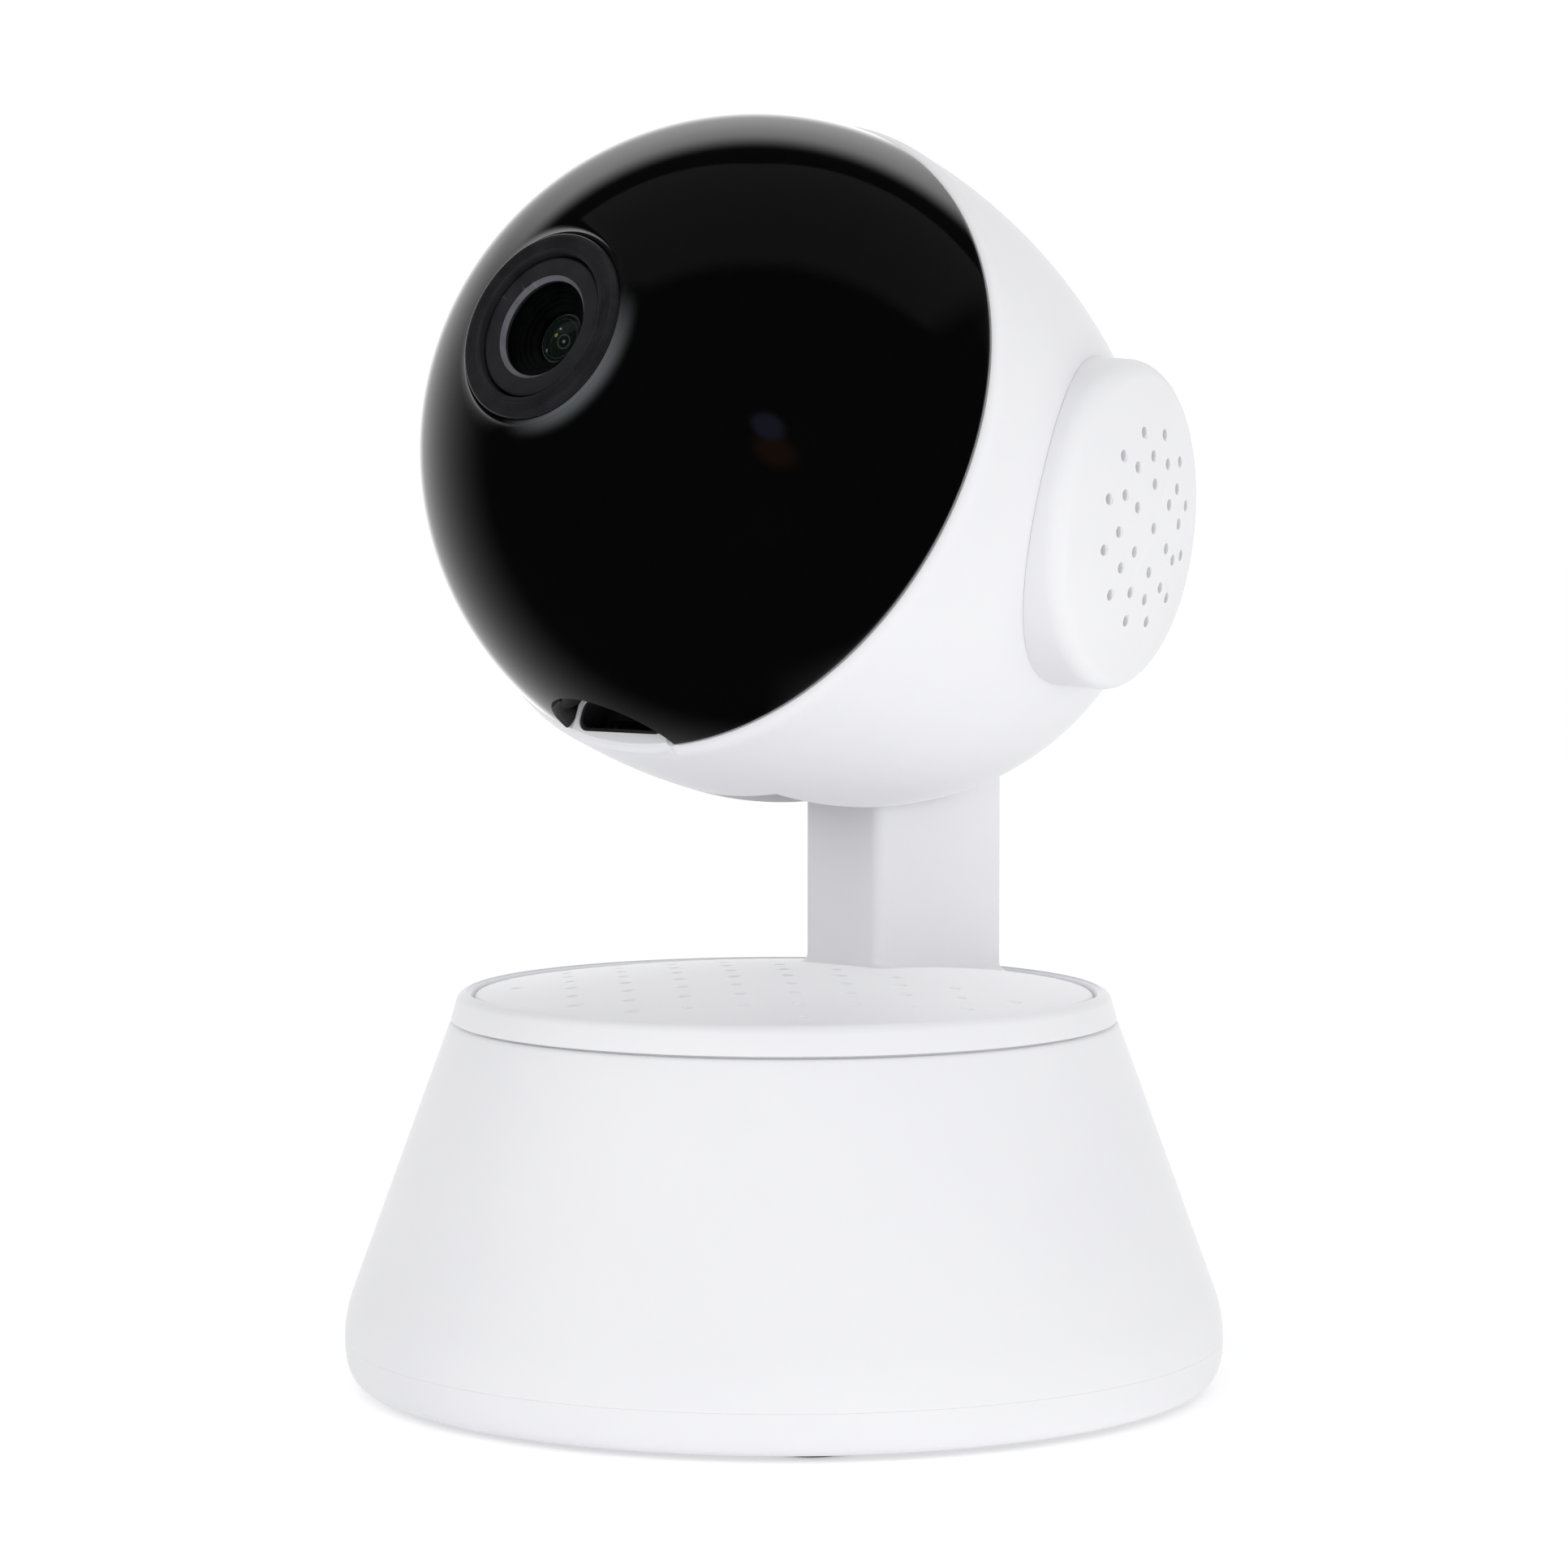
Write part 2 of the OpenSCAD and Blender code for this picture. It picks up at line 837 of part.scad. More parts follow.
module sensor_board() {
    color(green)
        in_head()
            difference() {
                block(0, 0, sensor_s, 30, 30, 1.2);
                four(12, 12)
                    cylinder(h = 30, r = 1.1);
            }
}

module image_sensor() {
    color([0.12, 0.12, 0.14])
        in_head()
            block(0, 0, sensor_s + 1.25, 8, 7, 1.2);
}

module led_board() {
    color([0.05, 0.12, 0.09])
        in_head()
            difference() {
                ring(9, 22.6, led_s, 1.2);
                for (a = [90, 210, 330])
                    rotate([0, 0, a])
                        translate([20.6, 0, 0])
                            cylinder(h = 60, r = 1);
            }
}

module infrared_leds() {
    color([0.25, 0.18, 0.12])
        in_head()
            for (i = [0:8])
                rotate([0, 0, sensor_a + (i + 1) * 36])
                    translate([led_ring, 0, led_s + 1.25]) {
                        block(0, 0, 0, 3.5, 3.5, 1.2);
                        translate([0, 0, 1.15])
                            cylinder(h = 0.5, r = 1.3);
                    }
}

module light_sensor() {
    color([0.75, 0.72, 0.6])
        in_head()
            rotate([0, 0, sensor_a])
                translate([led_ring, 0, led_s + 1.25]) {
                    cylinder(h = 2.2, r = 1.5);
                    cylinder(h = 0.7, r = 1.9);
                }
}

// ---- head: rear ----

module tail_solid(off, s_top) {
    rotate_extrude()
        polygon(tail_line(off, s_top));
}

module slot_cut() {
    reach = 60;
    rotate([0, 90, 0])
        translate([0, 0, -slot_w / 2])
            linear_extrude(height = slot_w)
                polygon([
                    [tilt_back, 0],
                    [tilt_back - reach * sin(slot_front), -reach * cos(slot_front)],
                    [90, -reach * cos(slot_front)],
                    [90, slot_rise],
                    [tilt_back, slot_rise]]);
}

module sound_field(r) {
    cylinder(h = 30, r = r, center = true);
    ring_r = [4.9, 8.0, 10.8];
    ring_n = [6, 12, 12];
    ring_a = [-8, -7, 3];
    for (k = [0:2])
        for (i = [0:ring_n[k] - 1])
            rotate([0, 0, ring_a[k] + i * 360 / ring_n[k]])
                translate([ring_r[k], 0, 0])
                    cylinder(h = 30, r = r, center = true, $fn = 24);
}

module ear_puck() {
    // domed disc with a rounded rim
    rim = 2.6;
    face_z = ear_out - (ear_dome - sqrt(ear_dome * ear_dome - pow(ear_r - rim, 2)));
    rotate_extrude()
        polygon(concat(
            [[0, -9]],
            [[ear_r, -9]],
            [for (i = [0:8]) let (a = i * 9.3)
                [ear_r - rim + rim * cos(a), face_z - rim + rim * sin(a)]],
            [for (i = [1:8]) let (r = (ear_r - rim) * (1 - i / 8))
                [r, ear_out - (ear_dome - sqrt(ear_dome * ear_dome - r * r))]]));
}

module ear_cap() {
    difference() {
        union() {
            difference() {
                in_ear()
                    ear_puck();
                tail_solid(-0.08, 30);
            }
            in_ear()
                translate([0, 0, -6.2])
                    cylinder(h = 8, r = spigot_r);
        }
        in_ear() {
            translate([0, 0, -12])
                cylinder(h = 12 + ear_out - 2.3, r = spigot_r - 1.4);
            sound_field(sound_r);
        }
    }
}

module ear_cap_right() {
    color(white)
        in_head()
            ear_cap();
}

module ear_cap_left() {
    color(white)
        in_head()
            mirror([1, 0, 0])
                ear_cap();
}

module rear_shell() {
    color(white)
        in_head()
            difference() {
                union() {
                    difference() {
                        tail_solid(0, split_s - seam_gap);
                        tail_solid(shell_wall, split_s + 1);
                        translate([0, 0, split_s - 1.1])
                            cylinder(h = 5, r = shield_r - 2.2);
                    }
                    intersection() {
                        four(boss_c, boss_c)
                            translate([0, 0, -32])
                                cylinder(h = 32 + plate_s - 0.05, r = 2.9);
                        tail_solid(shell_wall / 2, 30);
                    }
                    card_tongue();
                }
                slot_cut();
                four(boss_c, boss_c)
                    translate([0, 0, -10])
                        cylinder(h = 30, r = 1.25);
                for (m = [0, 1])
                    mirror([m, 0, 0])
                        in_ear()
                            translate([0, 0, -30])
                                cylinder(h = 60, r = spigot_r + 0.12);
                card_mouth(0, -3);
            }
}

// rounded prism of the card mouth, shrunk by a margin, from a plane forward
module card_mouth(shrink, back) {
    translate([mouth_x, mouth_u, back])
        linear_extrude(height = 20)
            polygon(round_rect(mouth_w - 2 * shrink, mouth_h - 2 * shrink, 1.35 - shrink));
}

// part of the rear shell that reaches forward under the shield
module card_tongue() {
    intersection() {
        translate([0, scoop_u - 7.1, mouth_back])
            block(tongue_x, 0, 0, tongue_w, 14, tongue_s - mouth_back);
        union() {
            tail_solid(thin, split_s - seam_gap);
            intersection() {
                front_half(shield_r - thin, split_s - seam_gap - thin);
                scoop(-0.1, 3);
            }
        }
        translate([0, 0, -20])
            cylinder(h = 40, r = shield_r);
    }
}

module card_frame() {
    // black liner of the mouth with the card slit at its back
    color(dark)
        in_head()
            difference() {
                intersection() {
                    card_mouth(0.06, mouth_back);
                    block(mouth_x, mouth_u, 0, 20, 10, split_s - 0.1);
                    tail_or_front(0.2);
                }
                card_mouth(0.45, mouth_back + 1);
                block(mouth_x, mouth_u + 0.55, mouth_back - 1, 11.4, 1.1, 4);
            }
}

module tail_or_front(off) {
    tail_solid(off, split_s - seam_gap);
    front_half(shield_r - off, split_s - seam_gap - thin);
}

module card_socket() {
    color(steel)
        in_head()
            difference() {
                block(mouth_x, mouth_u + 0.95, -8.4, 12, 1.9, 10.5);
                block(mouth_x, mouth_u + 0.75, -7.4, 11.2, 1.2, 12);
            }
}

module head_chassis() {
    color(dark)
        in_head()
            difference() {
                union() {
                    translate([0, 0, plate_s])
                        cylinder(h = plate_t, r = plate_r);
                    four(12, 12)
                        translate([0, 0, plate_s + 1])
                            cylinder(h = sensor_s - plate_s - 1.05, r = 2);
                    for (a = [90, 210, 330])
                        rotate([0, 0, a])
                            translate([20.6, 0, plate_s + 1])
                                cylinder(h = led_s - plate_s - 1.05, r = 1.9);
                    for (sx = [-1, 1])
                        translate([sx * (cheek_x + cheek_t / 2), 0, 0]) {
                            block(0, 0, -tilt_back, cheek_t, 17.2, tilt_back + plate_s + 1);
                            translate([-cheek_t / 2, 0, -tilt_back])
                                rotate([0, 90, 0])
                                    cylinder(h = cheek_t, r = 9);
                        }
                    translate([-cheek_x - cheek_t / 2, 0, motor_off - tilt_back])
                        block(0, 0, -4, cheek_t, 36, 8);
                    four_posts();
                }
                rod_x(-20, 20, 4.8);
                rod_x(0, 20, pin_r + run_gap);
                four(boss_c, boss_c)
                    cylinder(h = 20, r = 1.5);
                block(0, 0, 0, 9, 9, 20);
                for (u = [-15, 15])
                    translate([-20, u, motor_off - tilt_back])
                        rotate([0, 90, 0])
                            cylinder(h = 20, r = 1.05);
                translate([0, scoop_u - 8.6, 0])
                    block(scoop_x, 0, 0, 2 * scoop_r + 4.4, 20, 12);
                block(0, 20.8, plate_s - 1, 26, 6.6, 1.8);
            }
}

module four_posts() {
    // standoffs from the right cheek to the main board
    for (u = [-6.5, 6.5])
        for (s = [-14, -1])
            translate([cheek_x + 1, u, s])
                rotate([0, 90, 0])
                    cylinder(h = 11.9 - cheek_x, r = 1.5);
}

module head_screws() {
    color(steel)
        in_head()
            four(boss_c, boss_c)
                translate([0, 0, plate_s + plate_t + 0.05])
                    screw(1.2, 12, 2.5, 1.5);
}

module main_board() {
    color(green)
        in_head()
            translate([12.95, 0, 0])
                block(0.6, 0, -18, 1.2, 32, 20);
}

module shield_can() {
    color(steel)
        in_head()
            block(15.1, -5, -15, 1.8, 13, 13);
}

module board_chips() {
    color(dark)
        in_head() {
            block(14.8, 8, -14, 1.2, 8, 7);
            block(14.8, 8.5, -5, 1.2, 6, 4);
            block(15.6, -14, -12, 2.8, 2.6, 9);
        }
}

module aerial() {
    color([0.72, 0.60, 0.25])
        in_head()
            block(0, 20.8, plate_s - 0.65, 24, 6, 1.4);
}

module tilt_motor() {
    x1 = -cheek_x - cheek_t - 0.05;
    color(steel)
        in_head()
            difference() {
                union() {
                    translate([x1 - motor_h, 0, motor_off - tilt_back])
                        rotate([0, 90, 0])
                            cylinder(h = motor_h, r = motor_r);
                    rod_x(x1 - 6, 7.4, 4.6);
                    translate([x1 - 0.5, 0, motor_off - tilt_back - 3.5])
                        block(0, 0, 0, 1, 36, 7);
                }
                rod_x(-14.2, 20, shaft_r + run_gap);
                for (u = [-15, 15])
                    translate([-20, u, motor_off - tilt_back])
                        rotate([0, 90, 0])
                            cylinder(h = 20, r = 1.2);
            }
}

module tilt_motor_screws() {
    x1 = -cheek_x - cheek_t - 1.1;
    color(steel)
        in_head()
            for (u = [-15, 15])
                translate([x1, u, motor_off - tilt_back])
                    rotate([0, -90, 0])
                        screw(0.95, 3, 2, 1.2);
}

module speaker_frame() {
    color([0.25, 0.25, 0.27])
        in_head()
            in_ear() {
                difference() {
                    translate([0, 0, -5.8])
                        cylinder(h = 4.6, r = spigot_r - 1.5);
                    translate([0, 0, -4.9])
                        cylinder(h = 6, r = spigot_r - 2.4);
                }
                translate([0, 0, -8.4])
                    cylinder(h = 2.7, r = 8);
            }
}

module speaker_cone() {
    color([0.15, 0.13, 0.12])
        in_head()
            in_ear()
                rotate_extrude()
                    polygon([
                        [0, -3.2], [3.2, -3.9], [4, -4.4], [4, -4.8], [5, -4.8],
                        [11, -2], [12.3, -2], [12.3, -1.5], [10.6, -1.5], [4.6, -4.1],
                        [3.4, -3.5], [0, -2.8]]);
}

module microphone() {
    color(steel)
        in_head()
            mirror([1, 0, 0])
                in_ear()
                    translate([0, 0, ear_out - 4.9])
                        cylinder(h = 2.5, r = 3);
}

// ---- drawing ----

base_shell();
rim_cap();
bottom_cover();
feet();
base_screws();
bracket_insert();
ballast();
base_board();
board_parts();
power_socket();
reset_switch();
reset_button();
pan_motor();
pan_motor_screws();
pan_pinion();
turntable_disc();
neck();
neck_cover();
neck_screws();
neck_cable();
pan_gear();
retaining_ring();
disc_screws();
tilt_shaft();
pivot_pin();
front_shield();
lens_bezel();
lens_ring();
lens_barrel();
front_glass();
rear_glass();
lens_holder();
sensor_board();
image_sensor();
led_board();
infrared_leds();
light_sensor();
rear_shell();
card_frame();
card_socket();
ear_cap_right();
ear_cap_left();
speaker_frame();
speaker_cone();
microphone();
head_chassis();
head_screws();
main_board();
shield_can();
board_chips();
aerial();
tilt_motor();
tilt_motor_screws();
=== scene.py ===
"""Looks of the security camera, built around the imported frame."""
import json
from math import acos, atan2, cos, degrees, hypot, pi, radians, sin, sqrt, tan

import bmesh
import bpy
from mathutils import Matrix, Vector


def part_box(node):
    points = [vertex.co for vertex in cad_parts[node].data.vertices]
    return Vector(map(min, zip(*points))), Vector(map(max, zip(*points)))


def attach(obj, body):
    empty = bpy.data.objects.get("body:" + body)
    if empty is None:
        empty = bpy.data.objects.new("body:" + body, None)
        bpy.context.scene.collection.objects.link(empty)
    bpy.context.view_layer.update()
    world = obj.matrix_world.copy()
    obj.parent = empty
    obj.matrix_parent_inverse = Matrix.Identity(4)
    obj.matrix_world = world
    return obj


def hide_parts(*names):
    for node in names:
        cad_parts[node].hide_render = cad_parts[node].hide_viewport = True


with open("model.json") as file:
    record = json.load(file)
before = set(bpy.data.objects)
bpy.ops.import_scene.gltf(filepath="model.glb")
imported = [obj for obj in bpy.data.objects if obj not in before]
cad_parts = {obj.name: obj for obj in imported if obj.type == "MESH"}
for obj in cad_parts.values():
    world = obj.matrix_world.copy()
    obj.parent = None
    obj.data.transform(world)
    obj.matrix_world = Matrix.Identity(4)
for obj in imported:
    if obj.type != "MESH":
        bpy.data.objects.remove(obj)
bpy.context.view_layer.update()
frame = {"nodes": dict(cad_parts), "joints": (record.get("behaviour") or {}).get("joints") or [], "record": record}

MM = 0.001  # lengths below are millimetres, and the scene is in metres
scene = bpy.context.scene


# ---------------------------------------------------------------- camera

CAMERA_TURN = radians(41)
CAMERA_DOWN = radians(3.724)
CAMERA_AWAY = 0.55167
CAMERA_HIGH = 0.10393
CAMERA_LENS = 111.8


def make_camera():
    data = bpy.data.cameras.new("camera")
    data.lens = CAMERA_LENS
    data.sensor_width = 36
    camera = bpy.data.objects.new("camera", data)
    scene.collection.objects.link(camera)
    camera.location = (CAMERA_AWAY * sin(CAMERA_TURN), -CAMERA_AWAY * cos(CAMERA_TURN), CAMERA_HIGH)
    camera.rotation_euler = (pi / 2 - CAMERA_DOWN, 0, CAMERA_TURN)
    scene.camera = camera


make_camera()


# ---------------------------------------------------------------- sizes, from the frame

def lowest(node):
    """Lowest corner of a node's box, in millimetres."""
    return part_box(node)[0] / MM


def highest(node):
    """Highest corner of a node's box, in millimetres."""
    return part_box(node)[1] / MM


TILT = next(j for j in frame["joints"] if j["name"] == "tilt")
TILT_AXIS = Vector(TILT["pos_m"]) / MM

BASE_R = highest("base_shell").x
FOOT_Z = lowest("base_shell").z    # plane where the shell meets the bottom cover
SEAM_Z = highest("base_shell").z   # plane where the shell meets the rim
BASE_WALL = 2.3
FOOT_ROUND = 15.0             # radius of the bulge at the foot
WALL_LEAN = radians(20)
SEAM_GAP = 0.3
FOOT_GAP = 0.02               # the lower seam is closed, and hardly shows
DECK_Z = 39.4
DECK_UNDER = 37.4
SPINDLE_HOLE_R = 11.98
COVER_Z = lowest("bottom_cover").z
COVER_FLAT_R = 47.3
RIM_TOP = highest("rim_cap").z
DISC_R = highest("turntable_disc").x
DISC_TOP = highest("turntable_disc").z
RIM_IN = DISC_R + 0.45
DOME_R = 238.0
BUTTON_X = 10.0
PORT_Z = 11.7

NECK_W = highest("neck").x - lowest("neck").x
NECK_FRONT = 10.0             # the hub above reaches further forward
NECK_BACK = highest("neck").y
NECK_TOP = 88.0
NECK_WALL = 1.6
NECK_ROUND = 1.4
HUB_R = 9.5

HEAD_TILT = radians(21)
TILT_BACK = 24.4              # tilt axis behind the head's centre
HEAD_CENTRE = TILT_AXIS + TILT_BACK * Vector((0, -cos(HEAD_TILT), sin(HEAD_TILT)))
SHIELD_R = 37.8
SHIELD_WALL = 2.0
SPLIT_S = 6.6                 # plane where the shield meets the rear shell
TAIL_BIG = 83.0
TAIL_SMALL = 32.91
TAIL_BACK = 22.0
TAIL_IN = TAIL_BIG - SHIELD_R - 0.2
SHELL_WALL = 2.0
BEZEL_R = 10.6
BEZEL_S = 37.7
GROOVE_R = 8.1
APERTURE_R = 5.45
GLASS_R = 3.15
EAR_R = 18.4
EAR_BACK = 22.5
EAR_CANT = radians(13.5)
EAR_OUT = 4.5
EAR_DOME = 58.0
EAR_RIM = 2.6
SOUND_R = 0.62

TURN = 288                    # steps round a large turned piece


# ---------------------------------------------------------------- shader helpers

def feed(tree, node, inputs):
    """Fills a node's inputs. An input is a plain value or another node's output."""
    for name, value in inputs.items():
        if isinstance(value, bpy.types.NodeSocket):
            tree.links.new(value, node.inputs[name])
        else:
            node.inputs[name].default_value = value


def add(tree, kind, inputs=None, **settings):
    """Adds a shader node of a kind."""
    node = tree.nodes.new("ShaderNode" + kind)
    for name, value in settings.items():
        setattr(node, name, value)
    feed(tree, node, inputs or {})
    return node


def math(tree, operation, a, b=0.0):
    return add(tree, "Math", {0: a, 1: b}, operation=operation).outputs[0]


def plus(tree, a, b):
    return math(tree, "ADD", a, b)


def minus(tree, a, b):
    return math(tree, "SUBTRACT", a, b)


def times(tree, first, *others):
    for value in others:
        first = math(tree, "MULTIPLY", first, value)
    return first


def dot(tree, a, b):
    return add(tree, "VectorMath", {0: a, 1: b}, operation="DOT_PRODUCT").outputs["Value"]


def remap(tree, value, ends, **settings):
    return add(tree, "MapRange", {"Value": value, **ends}, **settings).outputs["Result"]


def smooth(tree, value, low, high):
    """0 up to low, 1 from high on, and an even curve between. low may be the larger."""
    return remap(tree, value, {"From Min": low, "From Max": high}, interpolation_type="SMOOTHSTEP")


def share(tree, value, low, high):
    """Turns low to high into 0 to 1, held at both ends."""
    return remap(tree, value, {"From Min": low, "From Max": high})


def span(tree, value, low, high):
    """A 0 to 1 value laid out between low and high."""
    return remap(tree, value, {"To Min": low, "To Max": high})


def blend_colours(tree, factor, first, second):
    node = add(tree, "Mix", {"Factor": factor}, data_type="RGBA")
    slots = [i for i, socket in enumerate(node.inputs) if socket.type == "RGBA"]
    for slot, value in zip(slots, (first, second)):
        feed(tree, node, {slot: (*value, 1) if isinstance(value, tuple) else value})
    return next(socket for socket in node.outputs if socket.type == "RGBA")


def noise(tree, place, per_mm, detail=2.0, rough=0.5):
    """Noise with per_mm waves in a millimetre."""
    inputs = {"Vector": place, "Scale": per_mm / MM, "Detail": detail, "Roughness": rough}
    return add(tree, "TexNoise", inputs).outputs["Fac"]


def new_material(name):
    """A material with its node tree, its shader and the place on the object."""
    material = bpy.data.materials.new(name)
    material.use_nodes = True
    tree = material.node_tree
    return material, tree, tree.nodes["Principled BSDF"], add(tree, "TexCoord").outputs["Object"]


def relief(tree, height, strength, deep):
    """Bump of a depth in millimetres."""
    inputs = {"Height": height, "Strength": strength, "Distance": deep * MM}
    return add(tree, "Bump", inputs).outputs["Normal"]


def head_place(tree):
    """Place in the head frame, in millimetres: across, up and forward."""
    place = add(tree, "TexCoord").outputs["Object"]
    rise, run = sin(HEAD_TILT), cos(HEAD_TILT)
    axes = (Vector((1, 0, 0)), Vector((0, rise, run)), Vector((0, -run, rise)))
    return [minus(tree, dot(tree, place, axis / MM), HEAD_CENTRE.dot(axis)) for axis in axes]


def distance(tree, x, y):
    """Length of the arrow (x, y)."""
    squares = plus(tree, times(tree, x, x), times(tree, y, y))
    return math(tree, "SQRT", squares)


def spot(tree, across, up, x, y, r, soft):
    """1 within r of a point, fading to 0 over soft."""
    away = distance(tree, minus(tree, across, x), minus(tree, up, y))
    return smooth(tree, away, r + soft, r)


def worn_edges(tree):
    """1 on sharp outer edges, 0 on flat faces."""
    return smooth(tree, add(tree, "NewGeometry").outputs["Pointiness"], 0.53, 0.62)


def surface(name, colour, second, rough, per_mm=0.4, grain=6.0, bump=0.02, depth=0.02,
            edge=None, metallic=0.0, coat=0.0, specular=0.5, spread=0.5):
    """A moulded, cast or plated finish: broad colour drift, fine grain in gloss and relief, worn edges.

    colour and second are the two ends of the drift, rough is the range of roughness,
    per_mm and grain are the two noise scales, depth is the relief in millimetres.
    """
    material, tree, shader, place = new_material(name)
    drift = noise(tree, place, per_mm, detail=4)
    fine = noise(tree, place, grain, detail=2)
    tint = blend_colours(tree, smooth(tree, drift, 0.5 - spread / 2, 0.5 + spread / 2), colour, second)
    if edge is not None:
        tint = blend_colours(tree, times(tree, worn_edges(tree), 0.5), tint, edge)
    mixed = plus(tree, times(tree, drift, 0.5), times(tree, fine, 0.5))
    feed(tree, shader, {"Base Color": tint, "Roughness": span(tree, mixed, *rough),
                        "Normal": relief(tree, fine, bump, depth),
                        "Metallic": metallic, "Specular IOR Level": specular})
    if coat:
        feed(tree, shader, {"Coat Weight": coat, "Coat Roughness": 0.05})
    return material


# ---------------------------------------------------------------- materials

# marks seen faintly through the smoked plastic: across, up, radius, softness, colour
SHIELD_MARKS = (
    (26.4, -9.6, 0.7, 1.6, (0.0060, 0.0030, 0.0020)),   # the light sensor's lead
    (25.8, -7.4, 0.8, 0.9, (0.0060, 0.0065, 0.0110)),   # the light sensor
)
MARKS_AHEAD = 20.0            # marks lie on the front only
DUST_PER_MM = 0.16
DUST_SIZE = 0.011
DUST_LEFT_OUT = 0.86          # share of the cells that hold no speck
# a painted sheen in the fillet under the lens collar, in place of a reflection: its size, place and side
PAINTED_SHEEN_INSIDE, PAINTED_SHEEN_OUTSIDE = 10.6, 12.9
PAINTED_SHEEN_AHEAD = 30.0
PAINTED_SHEEN_WAY = (0.77, -0.64)      # the painted sheen lies on this side of the collar
PAINTED_SHEEN_FROM, PAINTED_SHEEN_FULL = 4.5, 12.3


def dust(tree, place):
    """1 on a few specks scattered over the surface."""
    cells = add(tree, "TexVoronoi", {"Vector": place, "Scale": DUST_PER_MM / MM}, feature="F1")
    near = math(tree, "LESS_THAN", cells.outputs["Distance"], DUST_SIZE)
    chance = add(tree, "SeparateColor", {"Color": cells.outputs["Color"]}).outputs[0]
    return times(tree, near, math(tree, "GREATER_THAN", chance, DUST_LEFT_OUT))


def painted_collar_sheen(tree, across, up, ahead):
    """1 in the fillet under the lens collar, fading out round it: where a painted sheen stands in for a
    reflection.
    """
    close = smooth(tree, distance(tree, across, up), PAINTED_SHEEN_OUTSIDE, PAINTED_SHEEN_INSIDE)
    side = plus(tree, times(tree, across, PAINTED_SHEEN_WAY[0]), times(tree, up, PAINTED_SHEEN_WAY[1]))
    on_front = math(tree, "GREATER_THAN", ahead, PAINTED_SHEEN_AHEAD)
    return times(tree, close, close, smooth(tree, side, PAINTED_SHEEN_FROM, PAINTED_SHEEN_FULL), on_front)


def smoked_gloss():
    """Near-black gloss with a few specks of dust on it, marks seen through it, and a painted sheen under the lens
    collar.
    """
    material, tree, shader, place = new_material("smoked_gloss")
    drift = noise(tree, place, 0.05, detail=3)
    tint = blend_colours(tree, drift, (0.0008, 0.0008, 0.0009), (0.0016, 0.0015, 0.0015))
    speck = dust(tree, place)
    tint = blend_colours(tree, speck, tint, (0.25, 0.25, 0.26))
    across, up, ahead = head_place(tree)
    front = math(tree, "GREATER_THAN", ahead, MARKS_AHEAD)
    for x, y, r, soft, colour in SHIELD_MARKS:
        mark = times(tree, spot(tree, across, up, x, y, r, soft), front)
        tint = blend_colours(tree, mark, tint, colour)
    # painted sheen under the lens collar: a pale grey that stands in for a reflection
    tint = blend_colours(tree, painted_collar_sheen(tree, across, up, ahead), tint, (0.130, 0.138, 0.148))
    polish = span(tree, noise(tree, place, 0.4, detail=5), 0.035, 0.075)
    ripple = noise(tree, place, 0.06, detail=1)
    feed(tree, shader, {"Base Color": tint, "Roughness": plus(tree, polish, times(tree, speck, 0.5)),
                        "Normal": relief(tree, ripple, 0.05, 0.05)})
    return material


# painted reflections: the edges of the lens elements behind the glass, drawn as thin circles in the colour of the
# light they catch
# across, up, radius, half width of the line, colour
LENS_RING_REFLECTIONS = (
    (0.0, 0.0, 2.75, 0.16, (0.060, 0.066, 0.070)),
    (0.1, -0.1, 2.25, 0.10, (0.022, 0.026, 0.028)),
    (0.95, -0.6, 0.75, 0.14, (0.040, 0.046, 0.045)),
)
# painted highlights: glints on the lens glass
# across, up, radius, colour
PAINTED_LENS_GLINTS = (
    (-0.25, 0.10, 0.15, (0.15, 0.18, 0.03)),
    (0.10, 0.85, 0.10, (0.20, 0.24, 0.20)),
    (-1.5, -1.5, 0.13, (0.12, 0.13, 0.15)),
    (1.0, -0.6, 0.12, (0.12, 0.13, 0.14)),
)


def coated_glass():
    """Dark glass with a faint green-violet coating, and painted reflections and painted glints of the lens inside.
    """
    material, tree, shader, place = new_material("coated_glass")
    facing = add(tree, "LayerWeight", {"Blend": 0.35}).outputs["Facing"]
    coating = blend_colours(tree, facing, (0.003, 0.006, 0.005), (0.010, 0.014, 0.016))
    tint = blend_colours(tree, noise(tree, place, 0.5, detail=3), coating, (0.004, 0.008, 0.004))
    # painted reflections: the edges of the elements behind, drawn as thin circles, and painted glints between them
    across, up, _ = head_place(tree)
    for x, y, r, wide, colour in LENS_RING_REFLECTIONS:
        away = distance(tree, minus(tree, across, x), minus(tree, up, y))
        off = math(tree, "ABSOLUTE", minus(tree, away, r))
        tint = blend_colours(tree, smooth(tree, off, wide, 0.0), tint, colour)
    for x, y, r, colour in PAINTED_LENS_GLINTS:
        tint = blend_colours(tree, spot(tree, across, up, x, y, r, r), tint, colour)
    feed(tree, shader, {"Base Color": tint, "Roughness": span(tree, noise(tree, place, 2.0), 0.02, 0.06),
                        "Specular IOR Level": 0.6, "Coat Weight": 0.3, "Coat Roughness": 0.03})
    return material


